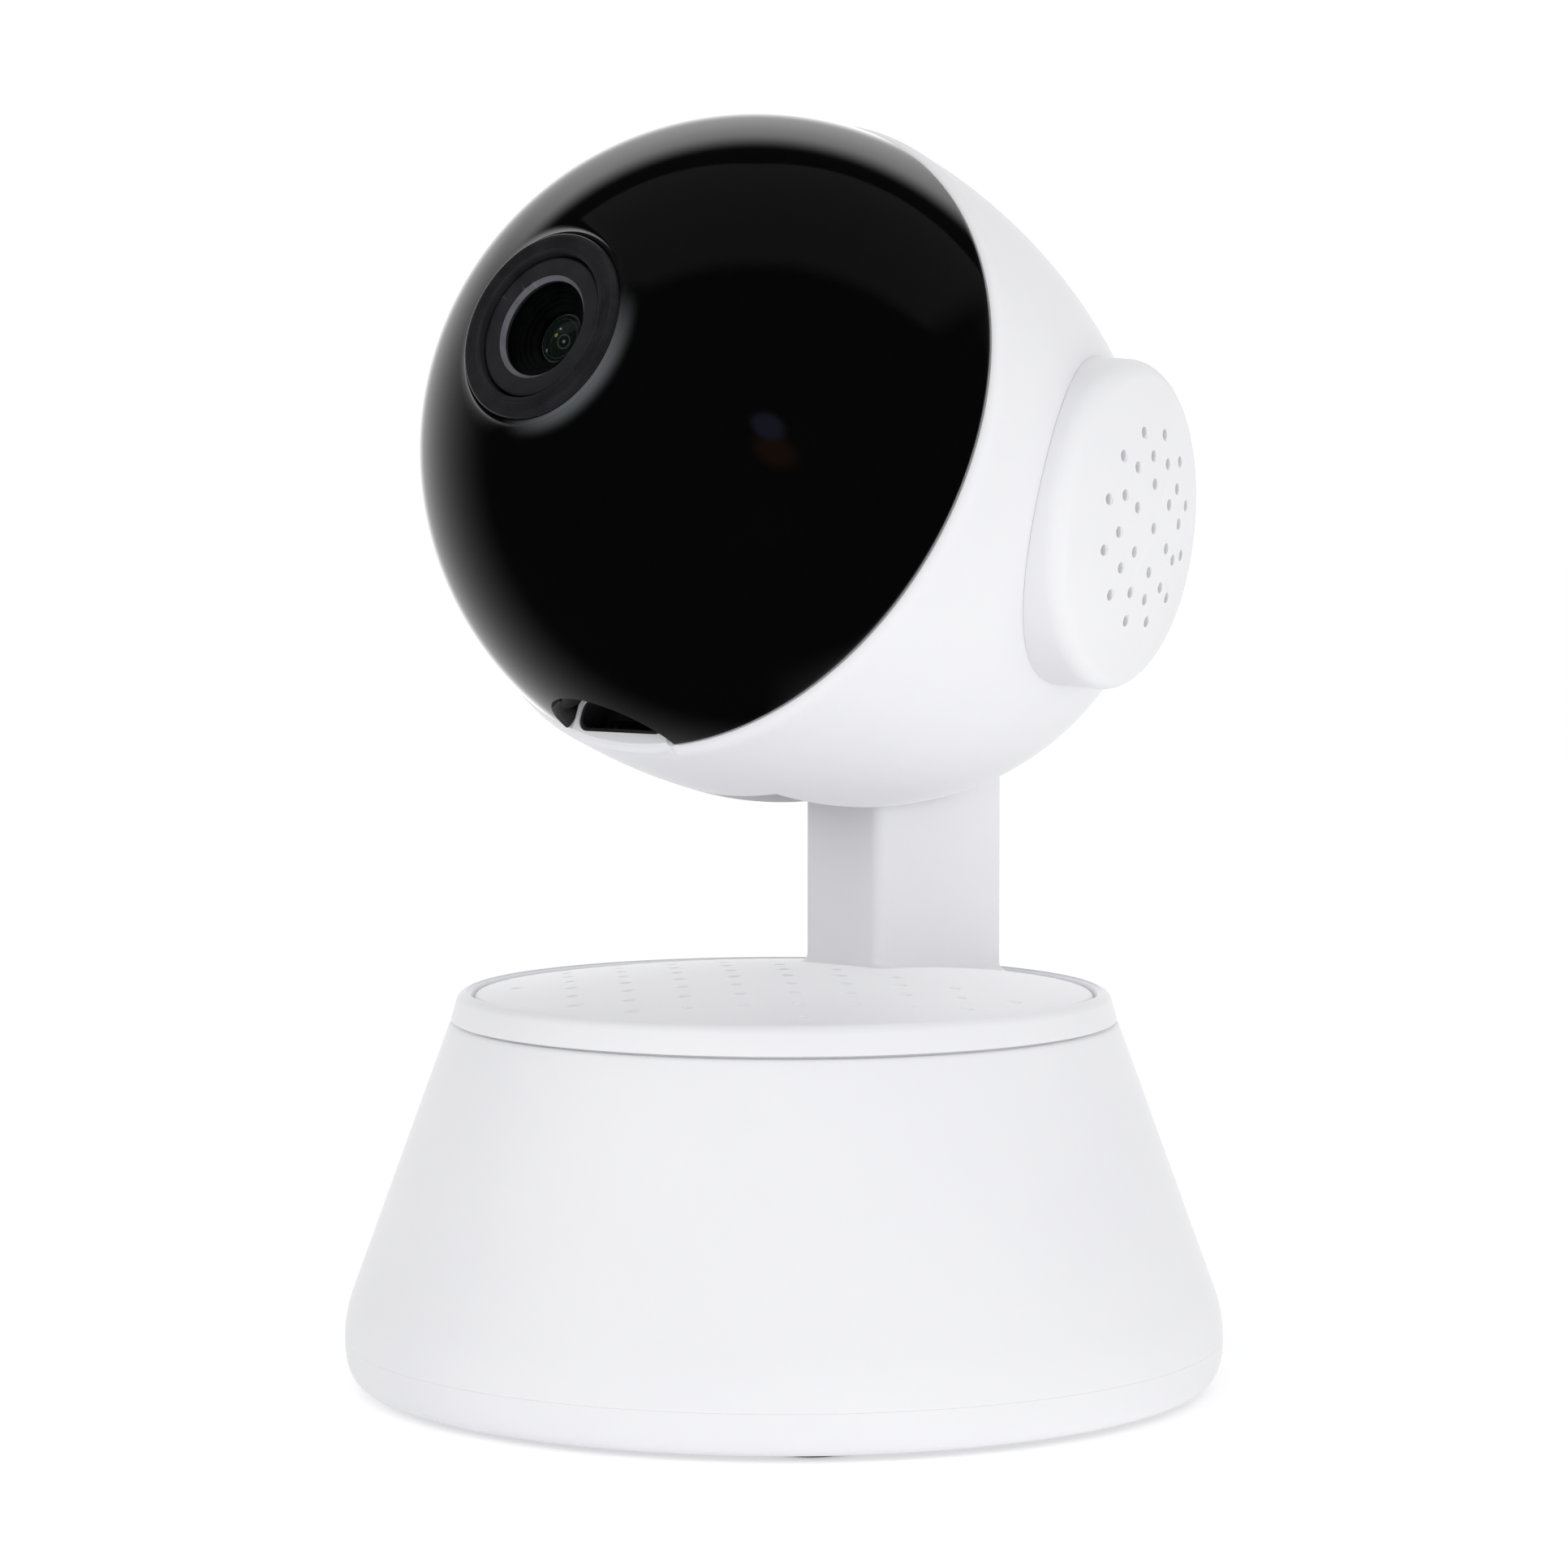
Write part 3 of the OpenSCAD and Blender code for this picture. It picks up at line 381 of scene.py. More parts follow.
WHITE = surface("white_plastic", (0.820, 0.820, 0.850), (0.850, 0.850, 0.875), (0.34, 0.44),
                per_mm=0.03, grain=4.0, bump=0.10, depth=0.01, edge=(0.88, 0.88, 0.90), specular=0.4)
SMOKED = smoked_gloss()
GLASS = coated_glass()
BEZEL = surface("bezel_satin", (0.010, 0.010, 0.012), (0.018, 0.017, 0.020), (0.20, 0.30),
                per_mm=0.3, grain=9.0, bump=0.2, depth=0.008)
RING = surface("ring_dark", (0.014, 0.013, 0.015), (0.020, 0.019, 0.022), (0.30, 0.42),
               per_mm=0.3, grain=9.0, bump=0.2, depth=0.008, edge=(0.08, 0.08, 0.10))
# a lighter copy of the ring's dark finish for the chamfer: a painted highlight for the light the chamfer catches
CHAMFER_PAINTED_HIGHLIGHT = surface("ring_chamfer_painted_highlight", (0.095, 0.095, 0.110), (0.130, 0.125, 0.145), (0.28, 0.40),
                  per_mm=0.5, grain=9.0, bump=0.2, depth=0.008, edge=(0.16, 0.16, 0.18))
BARREL = surface("barrel_black", (0.0010, 0.0012, 0.0011), (0.0022, 0.0030, 0.0026), (0.25, 0.40),
                 grain=8.0, specular=0.15)
BLACK = surface("black_plastic", (0.012, 0.012, 0.013), (0.022, 0.021, 0.023), (0.35, 0.5),
                bump=0.15, edge=(0.05, 0.05, 0.055))
RUBBER = surface("foot_rubber", (0.018, 0.018, 0.019), (0.032, 0.031, 0.031), (0.7, 0.85),
                 grain=5.0, bump=0.35, depth=0.04)
STEEL = surface("plated_steel", (0.55, 0.56, 0.58), (0.66, 0.66, 0.67), (0.22, 0.38), per_mm=0.6,
                grain=7.0, bump=0.08, metallic=1.0, edge=(0.80, 0.80, 0.81))
BRASS = surface("turned_brass", (0.66, 0.48, 0.20), (0.76, 0.58, 0.28), (0.2, 0.36), per_mm=0.7,
                grain=8.0, bump=0.1, metallic=1.0, edge=(0.90, 0.75, 0.42))
IRON = surface("cast_iron", (0.10, 0.10, 0.105), (0.17, 0.165, 0.16), (0.55, 0.75), per_mm=0.3,
               grain=2.5, bump=0.4, depth=0.08, metallic=0.7, edge=(0.25, 0.24, 0.23))
BOARD = surface("solder_mask", (0.008, 0.060, 0.032), (0.014, 0.085, 0.045), (0.3, 0.42), per_mm=0.5,
                grain=3.0, bump=0.2, coat=0.4, edge=(0.35, 0.33, 0.20))
CHIP = surface("chip_plastic", (0.014, 0.014, 0.016), (0.026, 0.025, 0.027), (0.45, 0.6), per_mm=0.8,
               grain=9.0, bump=0.2, depth=0.01, edge=(0.07, 0.07, 0.07))
GREY = surface("grey_plastic", (0.32, 0.32, 0.34), (0.38, 0.38, 0.40), (0.38, 0.5), per_mm=0.5,
               grain=6.0, bump=0.1, depth=0.01, edge=(0.5, 0.5, 0.52))
GEAR = surface("gear_plastic", (0.72, 0.69, 0.60), (0.79, 0.76, 0.68), (0.35, 0.5), per_mm=0.2,
               grain=4.0, bump=0.1, edge=(0.86, 0.84, 0.78))
CABLE = surface("cable_sheath", (0.020, 0.020, 0.022), (0.034, 0.033, 0.036), (0.4, 0.55), per_mm=0.4,
                grain=5.0, bump=0.2)
LED = surface("led_resin", (0.10, 0.085, 0.08), (0.16, 0.13, 0.11), (0.12, 0.22), per_mm=0.8,
              grain=5.0, bump=0.05, coat=0.5)
CONE = surface("cone_paper", (0.030, 0.028, 0.026), (0.055, 0.052, 0.048), (0.75, 0.9), per_mm=0.9,
               grain=3.0, bump=0.5, depth=0.05)

FINISHES = {
    "white_plastic": WHITE, "foot_rubber": RUBBER, "steel": STEEL, "brass": BRASS, "iron": IRON,
    "board": BOARD, "chip_plastic": CHIP, "grey_plastic": GREY, "gear_plastic": GEAR,
    "cable": CABLE, "smoked_plastic": SMOKED, "lens_black": BARREL, "lens_glass": GLASS,
    "led": LED, "cone_paper": CONE, "black_plastic": BLACK,
}


def finish_cad_nodes():
    """Every node of the frame gets the finish of its own slot. The shield mirrors only the head."""
    head = frame["record"]["behaviour"]["bodies"]["head"]
    for part in frame["record"]["subparts"]:
        node = frame["nodes"][part["node"]]
        node.data.materials.clear()
        node.data.materials.append(FINISHES[part["material_slot"]])
        node.visible_glossy = part["node"] in head


finish_cad_nodes()


# ---------------------------------------------------------------- mesh helpers

def arc(cx, cz, r, start, end, steps):
    """Points along an arc, angles in degrees."""
    angles = [radians(start + (end - start) * i / steps) for i in range(steps + 1)]
    return [(cx + r * cos(a), cz + r * sin(a)) for a in angles]


def curve(first, control, last, steps):
    """Points of a quadratic curve, without its first point."""
    points = []
    for i in range(1, steps + 1):
        t = i / steps
        weights = ((1 - t) ** 2, 2 * t * (1 - t), t * t)
        corners = (first, control, last)
        points.append(tuple(sum(w * p[k] for w, p in zip(weights, corners)) for k in (0, 1)))
    return points


def asin_deg(value):
    return 90 - degrees(acos(value))


def rounded(points, radius, steps=5):
    """An outline whose corners between its two ends are rounded by a radius."""
    out = [points[0]]
    for before, here, after in zip(points, points[1:], points[2:]):
        a = Vector(before) - Vector(here)
        b = Vector(after) - Vector(here)
        cut = min(radius, a.length / 2.1, b.length / 2.1)
        first = Vector(here) + a.normalized() * cut
        last = Vector(here) + b.normalized() * cut
        out.append(tuple(first))
        out.extend(curve(first, here, last, steps))
    return out + [points[-1]]


def at(x, y, z=0.0):
    """Placing matrix of a plain shift."""
    return Matrix.Translation((x, y, z))


def mesh_piece(name, points, faces, place=None):
    """A mesh from points in millimetres, moved by a placing matrix in millimetres."""
    mesh = bpy.data.meshes.new(name)
    placed = [place @ Vector(p) for p in points] if place else [Vector(p) for p in points]
    mesh.from_pydata([tuple(p * MM) for p in placed], [], faces)
    clean = bmesh.new()
    clean.from_mesh(mesh)
    bmesh.ops.recalc_face_normals(clean, faces=clean.faces)
    clean.to_mesh(mesh)
    clean.free()
    piece = bpy.data.objects.new(name, mesh)
    scene.collection.objects.link(piece)
    return piece


ON_AXIS = 1e-6                # a smaller radius is taken as the axis


def turned(name, profile, place=None, steps=TURN, closed=False):
    """A turned piece. An open profile starts and ends on the axis, and a closed one goes round a ring."""
    points = []
    rows = []
    circle = [(cos(2 * pi * i / steps), sin(2 * pi * i / steps)) for i in range(steps)]
    for r, z in profile:
        if r < ON_AXIS:
            rows.append([len(points)] * steps)
            points.append((0, 0, z))
        else:
            rows.append(list(range(len(points), len(points) + steps)))
            points.extend((r * x, r * y, z) for x, y in circle)
    pairs = list(zip(rows, rows[1:]))
    if closed:
        pairs.append((rows[-1], rows[0]))
    faces = []
    for low, high in pairs:
        for i in range(steps):
            j = (i + 1) % steps
            corner = [low[i], low[j], high[j], high[i]]
            face = [v for k, v in enumerate(corner) if v not in corner[:k]]
            if len(face) > 2:
                faces.append(face)
    return mesh_piece(name, points, faces, place)


def rod(name, r, low, high, place=None, steps=64):
    """A plain cylinder along Z."""
    return turned(name, [(0, low), (r, low), (r, high), (0, high)], place, steps)


def prism(name, outline, low, high, place=None):
    """An outline in XY carried from low to high along Z."""
    count = len(outline)
    points = [(x, y, low) for x, y in outline] + [(x, y, high) for x, y in outline]
    faces = [list(range(count)), list(range(count, 2 * count))]
    faces += [[i, (i + 1) % count, count + (i + 1) % count, count + i] for i in range(count)]
    return mesh_piece(name, points, faces, place)


def rectangle(width, depth, radius, steps=6):
    """Outline of a rounded rectangle round the origin."""
    outline = []
    for k, (sx, sy) in enumerate(((1, 1), (-1, 1), (-1, -1), (1, -1))):
        centre = (sx * (width / 2 - radius), sy * (depth / 2 - radius))
        outline += arc(*centre, radius, 90 * k, 90 * k + 90, steps)
    return outline


def joined(pieces):
    """One object out of several."""
    target = pieces[0]
    whole = bmesh.new()
    for piece in pieces:
        whole.from_mesh(piece.data)
    whole.to_mesh(target.data)
    whole.free()
    for piece in pieces[1:]:
        bpy.data.objects.remove(piece)
    return target


def carve(piece, tool, operation="DIFFERENCE"):
    """Cuts, joins or crosses a piece with a tool, which is used up."""
    step = piece.modifiers.new("carve", "BOOLEAN")
    step.operation = operation
    step.solver = "EXACT"
    step.object = tool
    bpy.context.view_layer.update()
    result = bpy.data.meshes.new_from_object(piece.evaluated_get(bpy.context.evaluated_depsgraph_get()))
    piece.modifiers.clear()
    old = piece.data
    piece.data = result
    result.name = old.name
    bpy.data.meshes.remove(old)
    bpy.data.objects.remove(tool)
    return piece


def shade(piece, sharp=32):
    """Smooth shading, broken at edges sharper than an angle in degrees."""
    same = 1e-7  # metres
    mesh = bmesh.new()
    mesh.from_mesh(piece.data)
    bmesh.ops.remove_doubles(mesh, verts=mesh.verts, dist=same)
    bmesh.ops.dissolve_degenerate(mesh, edges=mesh.edges, dist=same)
    for face in mesh.faces:
        face.smooth = True
    for edge in mesh.edges:
        edge.smooth = len(edge.link_faces) == 2 and edge.calc_face_angle(0) < radians(sharp)
    mesh.to_mesh(piece.data)
    mesh.free()


def finish_piece(piece, body, material, slot, *nodes, sharp=32):
    """Shades a piece, gives it its finish, and puts it in place of CAD nodes."""
    shade(piece, sharp)
    piece.data.materials.clear()
    piece.data.materials.append(material)
    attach(piece, body)
    if nodes:
        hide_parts(*nodes)
    piece.visible_glossy = body == "head"
    return piece


# ---------------------------------------------------------------- base

WALL_ROWS = (16, 22, 28, 34, 39)   # heights of the mesh rows up the wall
SEAM_ROUND = 0.35
REST_GAP = 0.05               # left between faces that rest on each other
SPINDLE_BOSS_R = 14.5
SPINDLE_BOSS_DEEP = 4.0
REAR_INSIDE = 41.0            # the tools that cut the rear wall start here
REACH = 12.0                  # how far a cutting tool goes through a wall
RECESS_W, RECESS_H, RECESS_ROUND = 11.6, 7.2, 1.2
BUTTON_HOLE_R = 1.9
MOTOR_R = 10.0
SHAFT_HOLE_R = 3.3
SCREW_X = 29.0
SCREW_SPOTS = [(sx * SCREW_X, sy * SCREW_X) for sx in (-1, 1) for sy in (-1, 1)]

def wall_r(z, inset=0.0):
    """Radius of the straight base wall at a height."""
    top = FOOT_Z + FOOT_ROUND * sin(WALL_LEAN)
    at_top = BASE_R - FOOT_ROUND + FOOT_ROUND * cos(WALL_LEAN)
    return at_top - (z - top) * tan(WALL_LEAN) - inset / cos(WALL_LEAN)


def dome_z(r):
    """Height of the turntable's dome at a radius."""
    return DISC_TOP - DOME_R + sqrt(DOME_R ** 2 - r * r)


def lean_angle():
    return degrees(WALL_LEAN)


def facing_back(x, y):
    """Frame in the rear wall at the height of the socket: Z out of the back."""
    return at(x, y, PORT_Z) @ Matrix.Rotation(radians(-90), 4, "X")


def make_base_shell():
    foot_x = BASE_R - FOOT_ROUND
    boss_z = DECK_Z - SPINDLE_BOSS_DEEP
    inner = [(SPINDLE_HOLE_R, boss_z), (SPINDLE_BOSS_R, boss_z), (SPINDLE_BOSS_R, DECK_UNDER),
             (wall_r(DECK_UNDER, BASE_WALL), DECK_UNDER)]
    inner += arc(foot_x, FOOT_Z, FOOT_ROUND - BASE_WALL, lean_angle(), 0, 6)
    outer = arc(foot_x, FOOT_Z, FOOT_ROUND, 0, lean_angle(), 18)
    outer += [(wall_r(z), z) for z in WALL_ROWS]
    edge = (wall_r(SEAM_Z), SEAM_Z)
    low = (wall_r(SEAM_Z - SEAM_ROUND), SEAM_Z - SEAM_ROUND)
    outer += [low] + curve(low, edge, (edge[0] - SEAM_ROUND, SEAM_Z), 4)
    deck_r = RIM_IN - 0.04
    deck = [(deck_r, SEAM_Z), (deck_r, DECK_Z), (SPINDLE_HOLE_R, DECK_Z)]
    shell = turned("base_housing", inner + outer + deck, closed=True)
    recess_shape = rectangle(RECESS_W, RECESS_H, RECESS_ROUND)
    recess = prism("recess", recess_shape, 0.5, REACH, facing_back(0, REAR_INSIDE))
    hole = rod("hole", BUTTON_HOLE_R, 0, REACH, facing_back(BUTTON_X, REAR_INSIDE))
    shaft_place = at(0, lowest("pan_motor").y + MOTOR_R)
    shaft = rod("shaft", SHAFT_HOLE_R, DECK_Z - 6, DECK_Z + 3, shaft_place)
    carve(shell, joined([recess, hole, shaft]))
    finish_piece(shell, "base", WHITE, "white_plastic", "base_shell")


RIM_ROUND = 1.4               # rounding of the rim's upper edge
RIM_FLANGE = 2.1              # width of the flange that rests on the deck
RIM_FLANGE_H = 1.9
RIM_SKIRT = 0.8               # thickness of the foot that hides the seam's inside
RIM_EDGE = 0.25


def make_rim():
    low = SEAM_Z + SEAM_GAP
    top_r = wall_r(RIM_TOP - RIM_ROUND) - RIM_ROUND * cos(WALL_LEAN)
    foot_r = wall_r(low)
    skirt_r = foot_r - RIM_SKIRT
    hidden_r = RIM_IN - 0.1
    on_deck, on_shell = DECK_Z + REST_GAP, SEAM_Z + REST_GAP
    profile = [(RIM_IN - RIM_FLANGE, on_deck), (hidden_r, on_deck), (hidden_r, on_shell),
               (skirt_r, on_shell), (skirt_r, low), (foot_r - RIM_EDGE, low)]
    profile += curve(profile[-1], (foot_r, low), (wall_r(low + RIM_EDGE), low + RIM_EDGE), 3)
    profile += arc(top_r, RIM_TOP - RIM_ROUND, RIM_ROUND, lean_angle(), 84, 14)
    inner = dome_z(DISC_R) - REST_GAP
    shoulder = (RIM_IN + 0.5, inner + 0.28)
    profile += [shoulder] + curve(shoulder, (RIM_IN, inner + 0.2), (RIM_IN, inner - 0.35), 5)
    profile += [(RIM_IN, DECK_Z + RIM_FLANGE_H), (RIM_IN - RIM_FLANGE, DECK_Z + RIM_FLANGE_H)]
    rim = turned("top_rim", profile, closed=True)
    finish_piece(rim, "base", WHITE, "white_plastic", "rim_cap")


COVER_POWER = 0.8             # below 1 the edge's curve is squarer than an ellipse
COVER_STEPS = 24
COVER_FLOOR = 2.0
COVER_BOSS_R = 3.9
INSERT_BOSS_R, INSERT_BOSS_H = 6.2, 8.4
INSERT_HOLE_R = 4.0
PAD_POCKET_R, PAD_POCKET_DEEP = 4.7, 1.7
SCREW_HEAD_R, SCREW_HOLE_R = 2.8, 1.6


def cover_edge():
    """Outline of the cover's edge from the flat underside up to the shell."""
    height = FOOT_Z - FOOT_GAP - COVER_Z
    bulge = BASE_R - COVER_FLAT_R
    points = []
    for i in range(COVER_STEPS + 1):
        a = radians(i * 90 / COVER_STEPS)
        out, rise = sin(a) ** COVER_POWER, 1 - max(cos(a), 0) ** COVER_POWER
        points.append((COVER_FLAT_R + bulge * out, COVER_Z + height * rise))
    return points


def make_bottom_cover():
    inner_r = BASE_R - BASE_WALL - 0.6
    lip_r, wall_in_r, fillet_r = inner_r + 0.25, inner_r - 0.9, inner_r - 2.4
    lip_z = FOOT_Z + 1.6
    floor_z = COVER_Z + COVER_FLOOR
    profile = [(0, COVER_Z), (20, COVER_Z), (40, COVER_Z)] + cover_edge()
    profile += [(lip_r, FOOT_Z - FOOT_GAP), (lip_r, lip_z), (wall_in_r, lip_z), (wall_in_r, floor_z + 1.2),
                (fillet_r, floor_z), (0, floor_z)]
    cover = turned("bottom_plate", profile)
    bosses = [rod("boss", COVER_BOSS_R, COVER_Z + 1, FOOT_Z + 0.25, at(x, y), 48)
              for x, y in SCREW_SPOTS]
    hub = rod("hub", INSERT_BOSS_R, COVER_Z + 1, COVER_Z + INSERT_BOSS_H)
    carve(cover, joined(bosses + [hub]), "UNION")
    seat_z = floor_z + 0.15
    pocket = [(0, -1), (PAD_POCKET_R, -1), (PAD_POCKET_R, PAD_POCKET_DEEP), (SCREW_HEAD_R, PAD_POCKET_DEEP),
              (SCREW_HEAD_R, seat_z), (SCREW_HOLE_R, seat_z), (SCREW_HOLE_R, 8), (0, 8)]
    cuts = [turned("pocket", pocket, at(x, y), steps=64) for x, y in SCREW_SPOTS]
    carve(cover, joined(cuts + [rod("mouth", INSERT_HOLE_R, -1, REACH)]))
    finish_piece(cover, "base", WHITE, "white_plastic", "bottom_cover")


PAD_R = 4.6
PAD_ROUND = 0.35
PAD_RING_R = 3.0              # inside it the sole is sunk
PAD_SUNK = 0.12


def make_feet():
    """Rubber pads with a rounded rim and a shallow ring pressed into the sole."""
    top = highest("feet").z
    flat = (PAD_RING_R - 0.4, PAD_SUNK)
    sole = [(0, PAD_SUNK), flat] + curve(flat, (PAD_RING_R - 0.1, PAD_SUNK), (PAD_RING_R, 0), 3)
    corner = (PAD_R - PAD_ROUND, 0)
    edge = [corner] + curve(corner, (PAD_R, 0), (PAD_R, PAD_ROUND), 5)
    profile = sole + edge + [(PAD_R, top), (0, top)]
    pads = joined([turned("pad", profile, at(x, y), steps=72) for x, y in SCREW_SPOTS])
    pads.name = "foot_pads"
    finish_piece(pads, "base", RUBBER, "foot_rubber", "feet")


PIN_R = 1.75
PIN_COLLAR_R = 2.2
PIN_COLLAR_LOW, PIN_COLLAR_HIGH = 0.92, 1.32
PIN_TAIL_R = 1.1
PIN_DISH = ((0.9, 0.06), (0.4, 0.12), (0.0, 0.14))   # radius, depth of the hollow in the tip


def make_reset_button():
    """Small pin with a rounded, slightly dished end."""
    start = lowest("reset_button").y
    length = highest("reset_button").y - start
    profile = [(0, 0), (PIN_TAIL_R, 0), (PIN_TAIL_R, PIN_COLLAR_LOW), (PIN_COLLAR_R, PIN_COLLAR_LOW),
               (PIN_COLLAR_R, PIN_COLLAR_HIGH), (PIN_R, PIN_COLLAR_HIGH), (PIN_R, length - 0.35)]
    profile += curve(profile[-1], (PIN_R, length), (PIN_R - 0.4, length), 5)
    profile += [(r, length - deep) for r, deep in PIN_DISH]
    button = turned("reset_pin", profile, facing_back(BUTTON_X, start), steps=64)
    finish_piece(button, "reset_button", GREY, "grey_plastic", "reset_button")


# ---------------------------------------------------------------- turntable and neck

DIMPLE_STEP = 6.1 / sqrt(2)
DIMPLE_R = 0.68
DIMPLE_DEEP = 0.3
DIMPLE_COUNT = 7              # steps from the middle to the edge
DISC_THICK = 1.8
DISC_SOCKET_R, DISC_SOCKET_IN, DISC_SOCKET_Z = 16.6, 12.2, 42.6


def dimple_places():
    """A square grid laid diagonally, in front of the neck."""
    steps = range(-DIMPLE_COUNT, DIMPLE_COUNT + 1)
    for i in steps:
        for j in steps:
            x, y = i * DIMPLE_STEP, j * DIMPLE_STEP
            if (i + j) % 2 == 0 and hypot(x, y) < DISC_R - 4.5 and y < NECK_FRONT - 5:
                yield x, y


def ball_cap(r, deep, steps=8):
    """Profile of a shallow bowl of radius r and a depth, closed above."""
    ball = (r * r + deep * deep) / (2 * deep)
    spread = degrees(acos((ball - deep) / ball))
    bowl = arc(0, ball - deep, ball, -90, -90 + spread, steps)
    return [(max(p[0], 0), p[1]) for p in bowl] + [(r * 1.25, 0.4), (0, 0.4)]


def make_turntable():
    flat_r = DISC_R * 0.985
    top = [(flat_r * i / 30, dome_z(flat_r * i / 30)) for i in range(31)]
    rim_z = dome_z(DISC_R)
    edge = curve(top[-1], (DISC_R, rim_z), (DISC_R, rim_z - 0.5), 6)
    skirt_r, skirt_z = DISC_R - 1.4, DECK_Z + 2.3
    under = [(DISC_R, skirt_z), (skirt_r, skirt_z), (skirt_r, rim_z - DISC_THICK)]
    under += [(r, dome_z(r) - DISC_THICK) for r in (28, 22, DISC_SOCKET_R)]
    under += [(DISC_SOCKET_R, DISC_SOCKET_Z), (DISC_SOCKET_IN, DISC_SOCKET_Z)]
    under += [(r, dome_z(r) - DISC_THICK) for r in (DISC_SOCKET_IN, 0)]
    disc = turned("turntable_top", top + edge + under)
    bowls = []
    for x, y in dimple_places():
        r = hypot(x, y)
        lean = Matrix.Rotation(r / DOME_R, 4, Vector((-y, x, 0))) if r else Matrix()
        place = at(x, y, dome_z(r)) @ lean
        bowls.append(turned("bowl", ball_cap(DIMPLE_R, DIMPLE_DEEP), place, steps=28))
    carve(disc, joined(bowls))
    finish_piece(disc, "turntable", WHITE, "white_plastic", "turntable_disc", sharp=50)


NECK_FLARE = 1.1              # radius of the curve at the neck's foot
NECK_SUNK = 1.2               # how far the foot goes into the disc
NECK_ROWS = (52, 60, 70, 80, NECK_TOP)
NECK_BORE_R = 3.06
HUB_INSET = 0.03              # the hub's faces stand this far inside the neck's
HUB_EDGE = 0.8
HOLLOW_LOW, HOLLOW_HIGH = 30, 84
HOLLOW_Y, HOLLOW_DEEP = 25, 25


def neck_rows():
    """Outlines of the column from its flared foot up."""
    deep = NECK_BACK - NECK_FRONT
    middle = (NECK_FRONT + NECK_BACK) / 2
    turns = [radians(a) for a in range(0, 91, 10)]
    levels = [(-NECK_SUNK, NECK_FLARE)]
    levels += [(NECK_FLARE * (1 - cos(a)), NECK_FLARE * (1 - sin(a))) for a in turns]
    rows = []
    for up, out in levels:
        outline = rectangle(NECK_W + 2 * out, deep + 2 * out, NECK_ROUND + out, 8)
        places = [(x, y + middle) for x, y in outline]
        rows.append([(x, y, dome_z(min(hypot(x, y), DISC_R)) + up) for x, y in places])
    for z in NECK_ROWS:
        rows.append([(x, y + middle, z) for x, y in rectangle(NECK_W, deep, NECK_ROUND, 8)])
    return rows


def make_neck():
    """Rounded column that flares softly into the dome and ends in a round hub."""
    rows = neck_rows()
    count = len(rows[0])
    faces = [list(range(count)), list(range(count * (len(rows) - 1), count * len(rows)))]
    for k in range(len(rows) - 1):
        low, high = k * count, (k + 1) * count
        for i in range(count):
            j = (i + 1) % count
            faces.append([low + i, low + j, high + j, high + i])
    column = mesh_piece("neck_column", [p for row in rows for p in row], faces)
    across = at(-NECK_W / 2, TILT_AXIS.y, TILT_AXIS.z) @ Matrix.Rotation(pi / 2, 4, "Y")
    near, far = HUB_INSET, NECK_W - HUB_INSET
    side = rounded([(0, near), (HUB_R, near), (HUB_R, far), (0, far)], HUB_EDGE, 5)
    carve(column, turned("hub", side, across, steps=128), "UNION")
    bore = rod("bore", NECK_BORE_R, -1, NECK_W + 1, across)
    inside = rectangle(NECK_W - 2 * NECK_WALL, HOLLOW_DEEP, 0.4)
    hollow = prism("hollow", inside, HOLLOW_LOW, HOLLOW_HIGH, at(0, HOLLOW_Y))
    carve(column, joined([bore, hollow]))
    finish_piece(column, "turntable", WHITE, "white_plastic", "neck")


# ---------------------------------------------------------------- head

# head frame: X across, Y up through the head, Z forward along the lens
HEAD = Matrix.Translation(HEAD_CENTRE) @ Matrix.Rotation(pi / 2 - HEAD_TILT, 4, "X")


def tail_profile(inset, front):
    """Rear shell outline from the tail's end forward: a small round, then a long one."""
    turn_over = -atan2(TAIL_BACK, TAIL_IN)
    small = TAIL_SMALL - inset
    points = arc(0, -TAIL_BACK, small, -90, degrees(turn_over), 40)
    start = TAIL_BIG * sin(turn_over) * (1 - inset / TAIL_BIG)
    for i in range(1, 25):
        s = start + (front - start) * i / 24
        points.append((sqrt((TAIL_BIG - inset) ** 2 - s * s) - TAIL_IN, s))
    points[0] = (0, points[0][1])
    return points


# scoop under the shield and the card mouth in it
SCOOP_X = -3.3
SCOOP_S = 7.4
SCOOP_R = 8.05                # radius of the scoop at the surface
SCOOP_U = -31.4               # roof of the scoop
SCOOP_SLOPE = 0.55
SURFACE_U = -35.5
TONGUE_X = -2.65
TONGUE_W = 14.3
MOUTH_X = -2.5
MOUTH_U = -34.35
MOUTH_W = 13.4
MOUTH_H = 3.0
MOUTH_OPEN = 4.05             # height of the opening seen in the white lip
MOUTH_ROUND = 1.6
MOUTH_BACK = 2.2
LINER_GAP = 0.06              # between the liner and the lip, on each side
LINER_WALL = 0.45
LINER_BACK = 0.9
SLIT_W, SLIT_H, SLIT_UP = 11.4, 1.1, 0.55


def mouth_place():
    """Frame in the middle of the card mouth, which opens up to the scoop's roof."""
    return HEAD @ at(MOUTH_X, MOUTH_U - MOUTH_H / 2 + MOUTH_OPEN / 2)


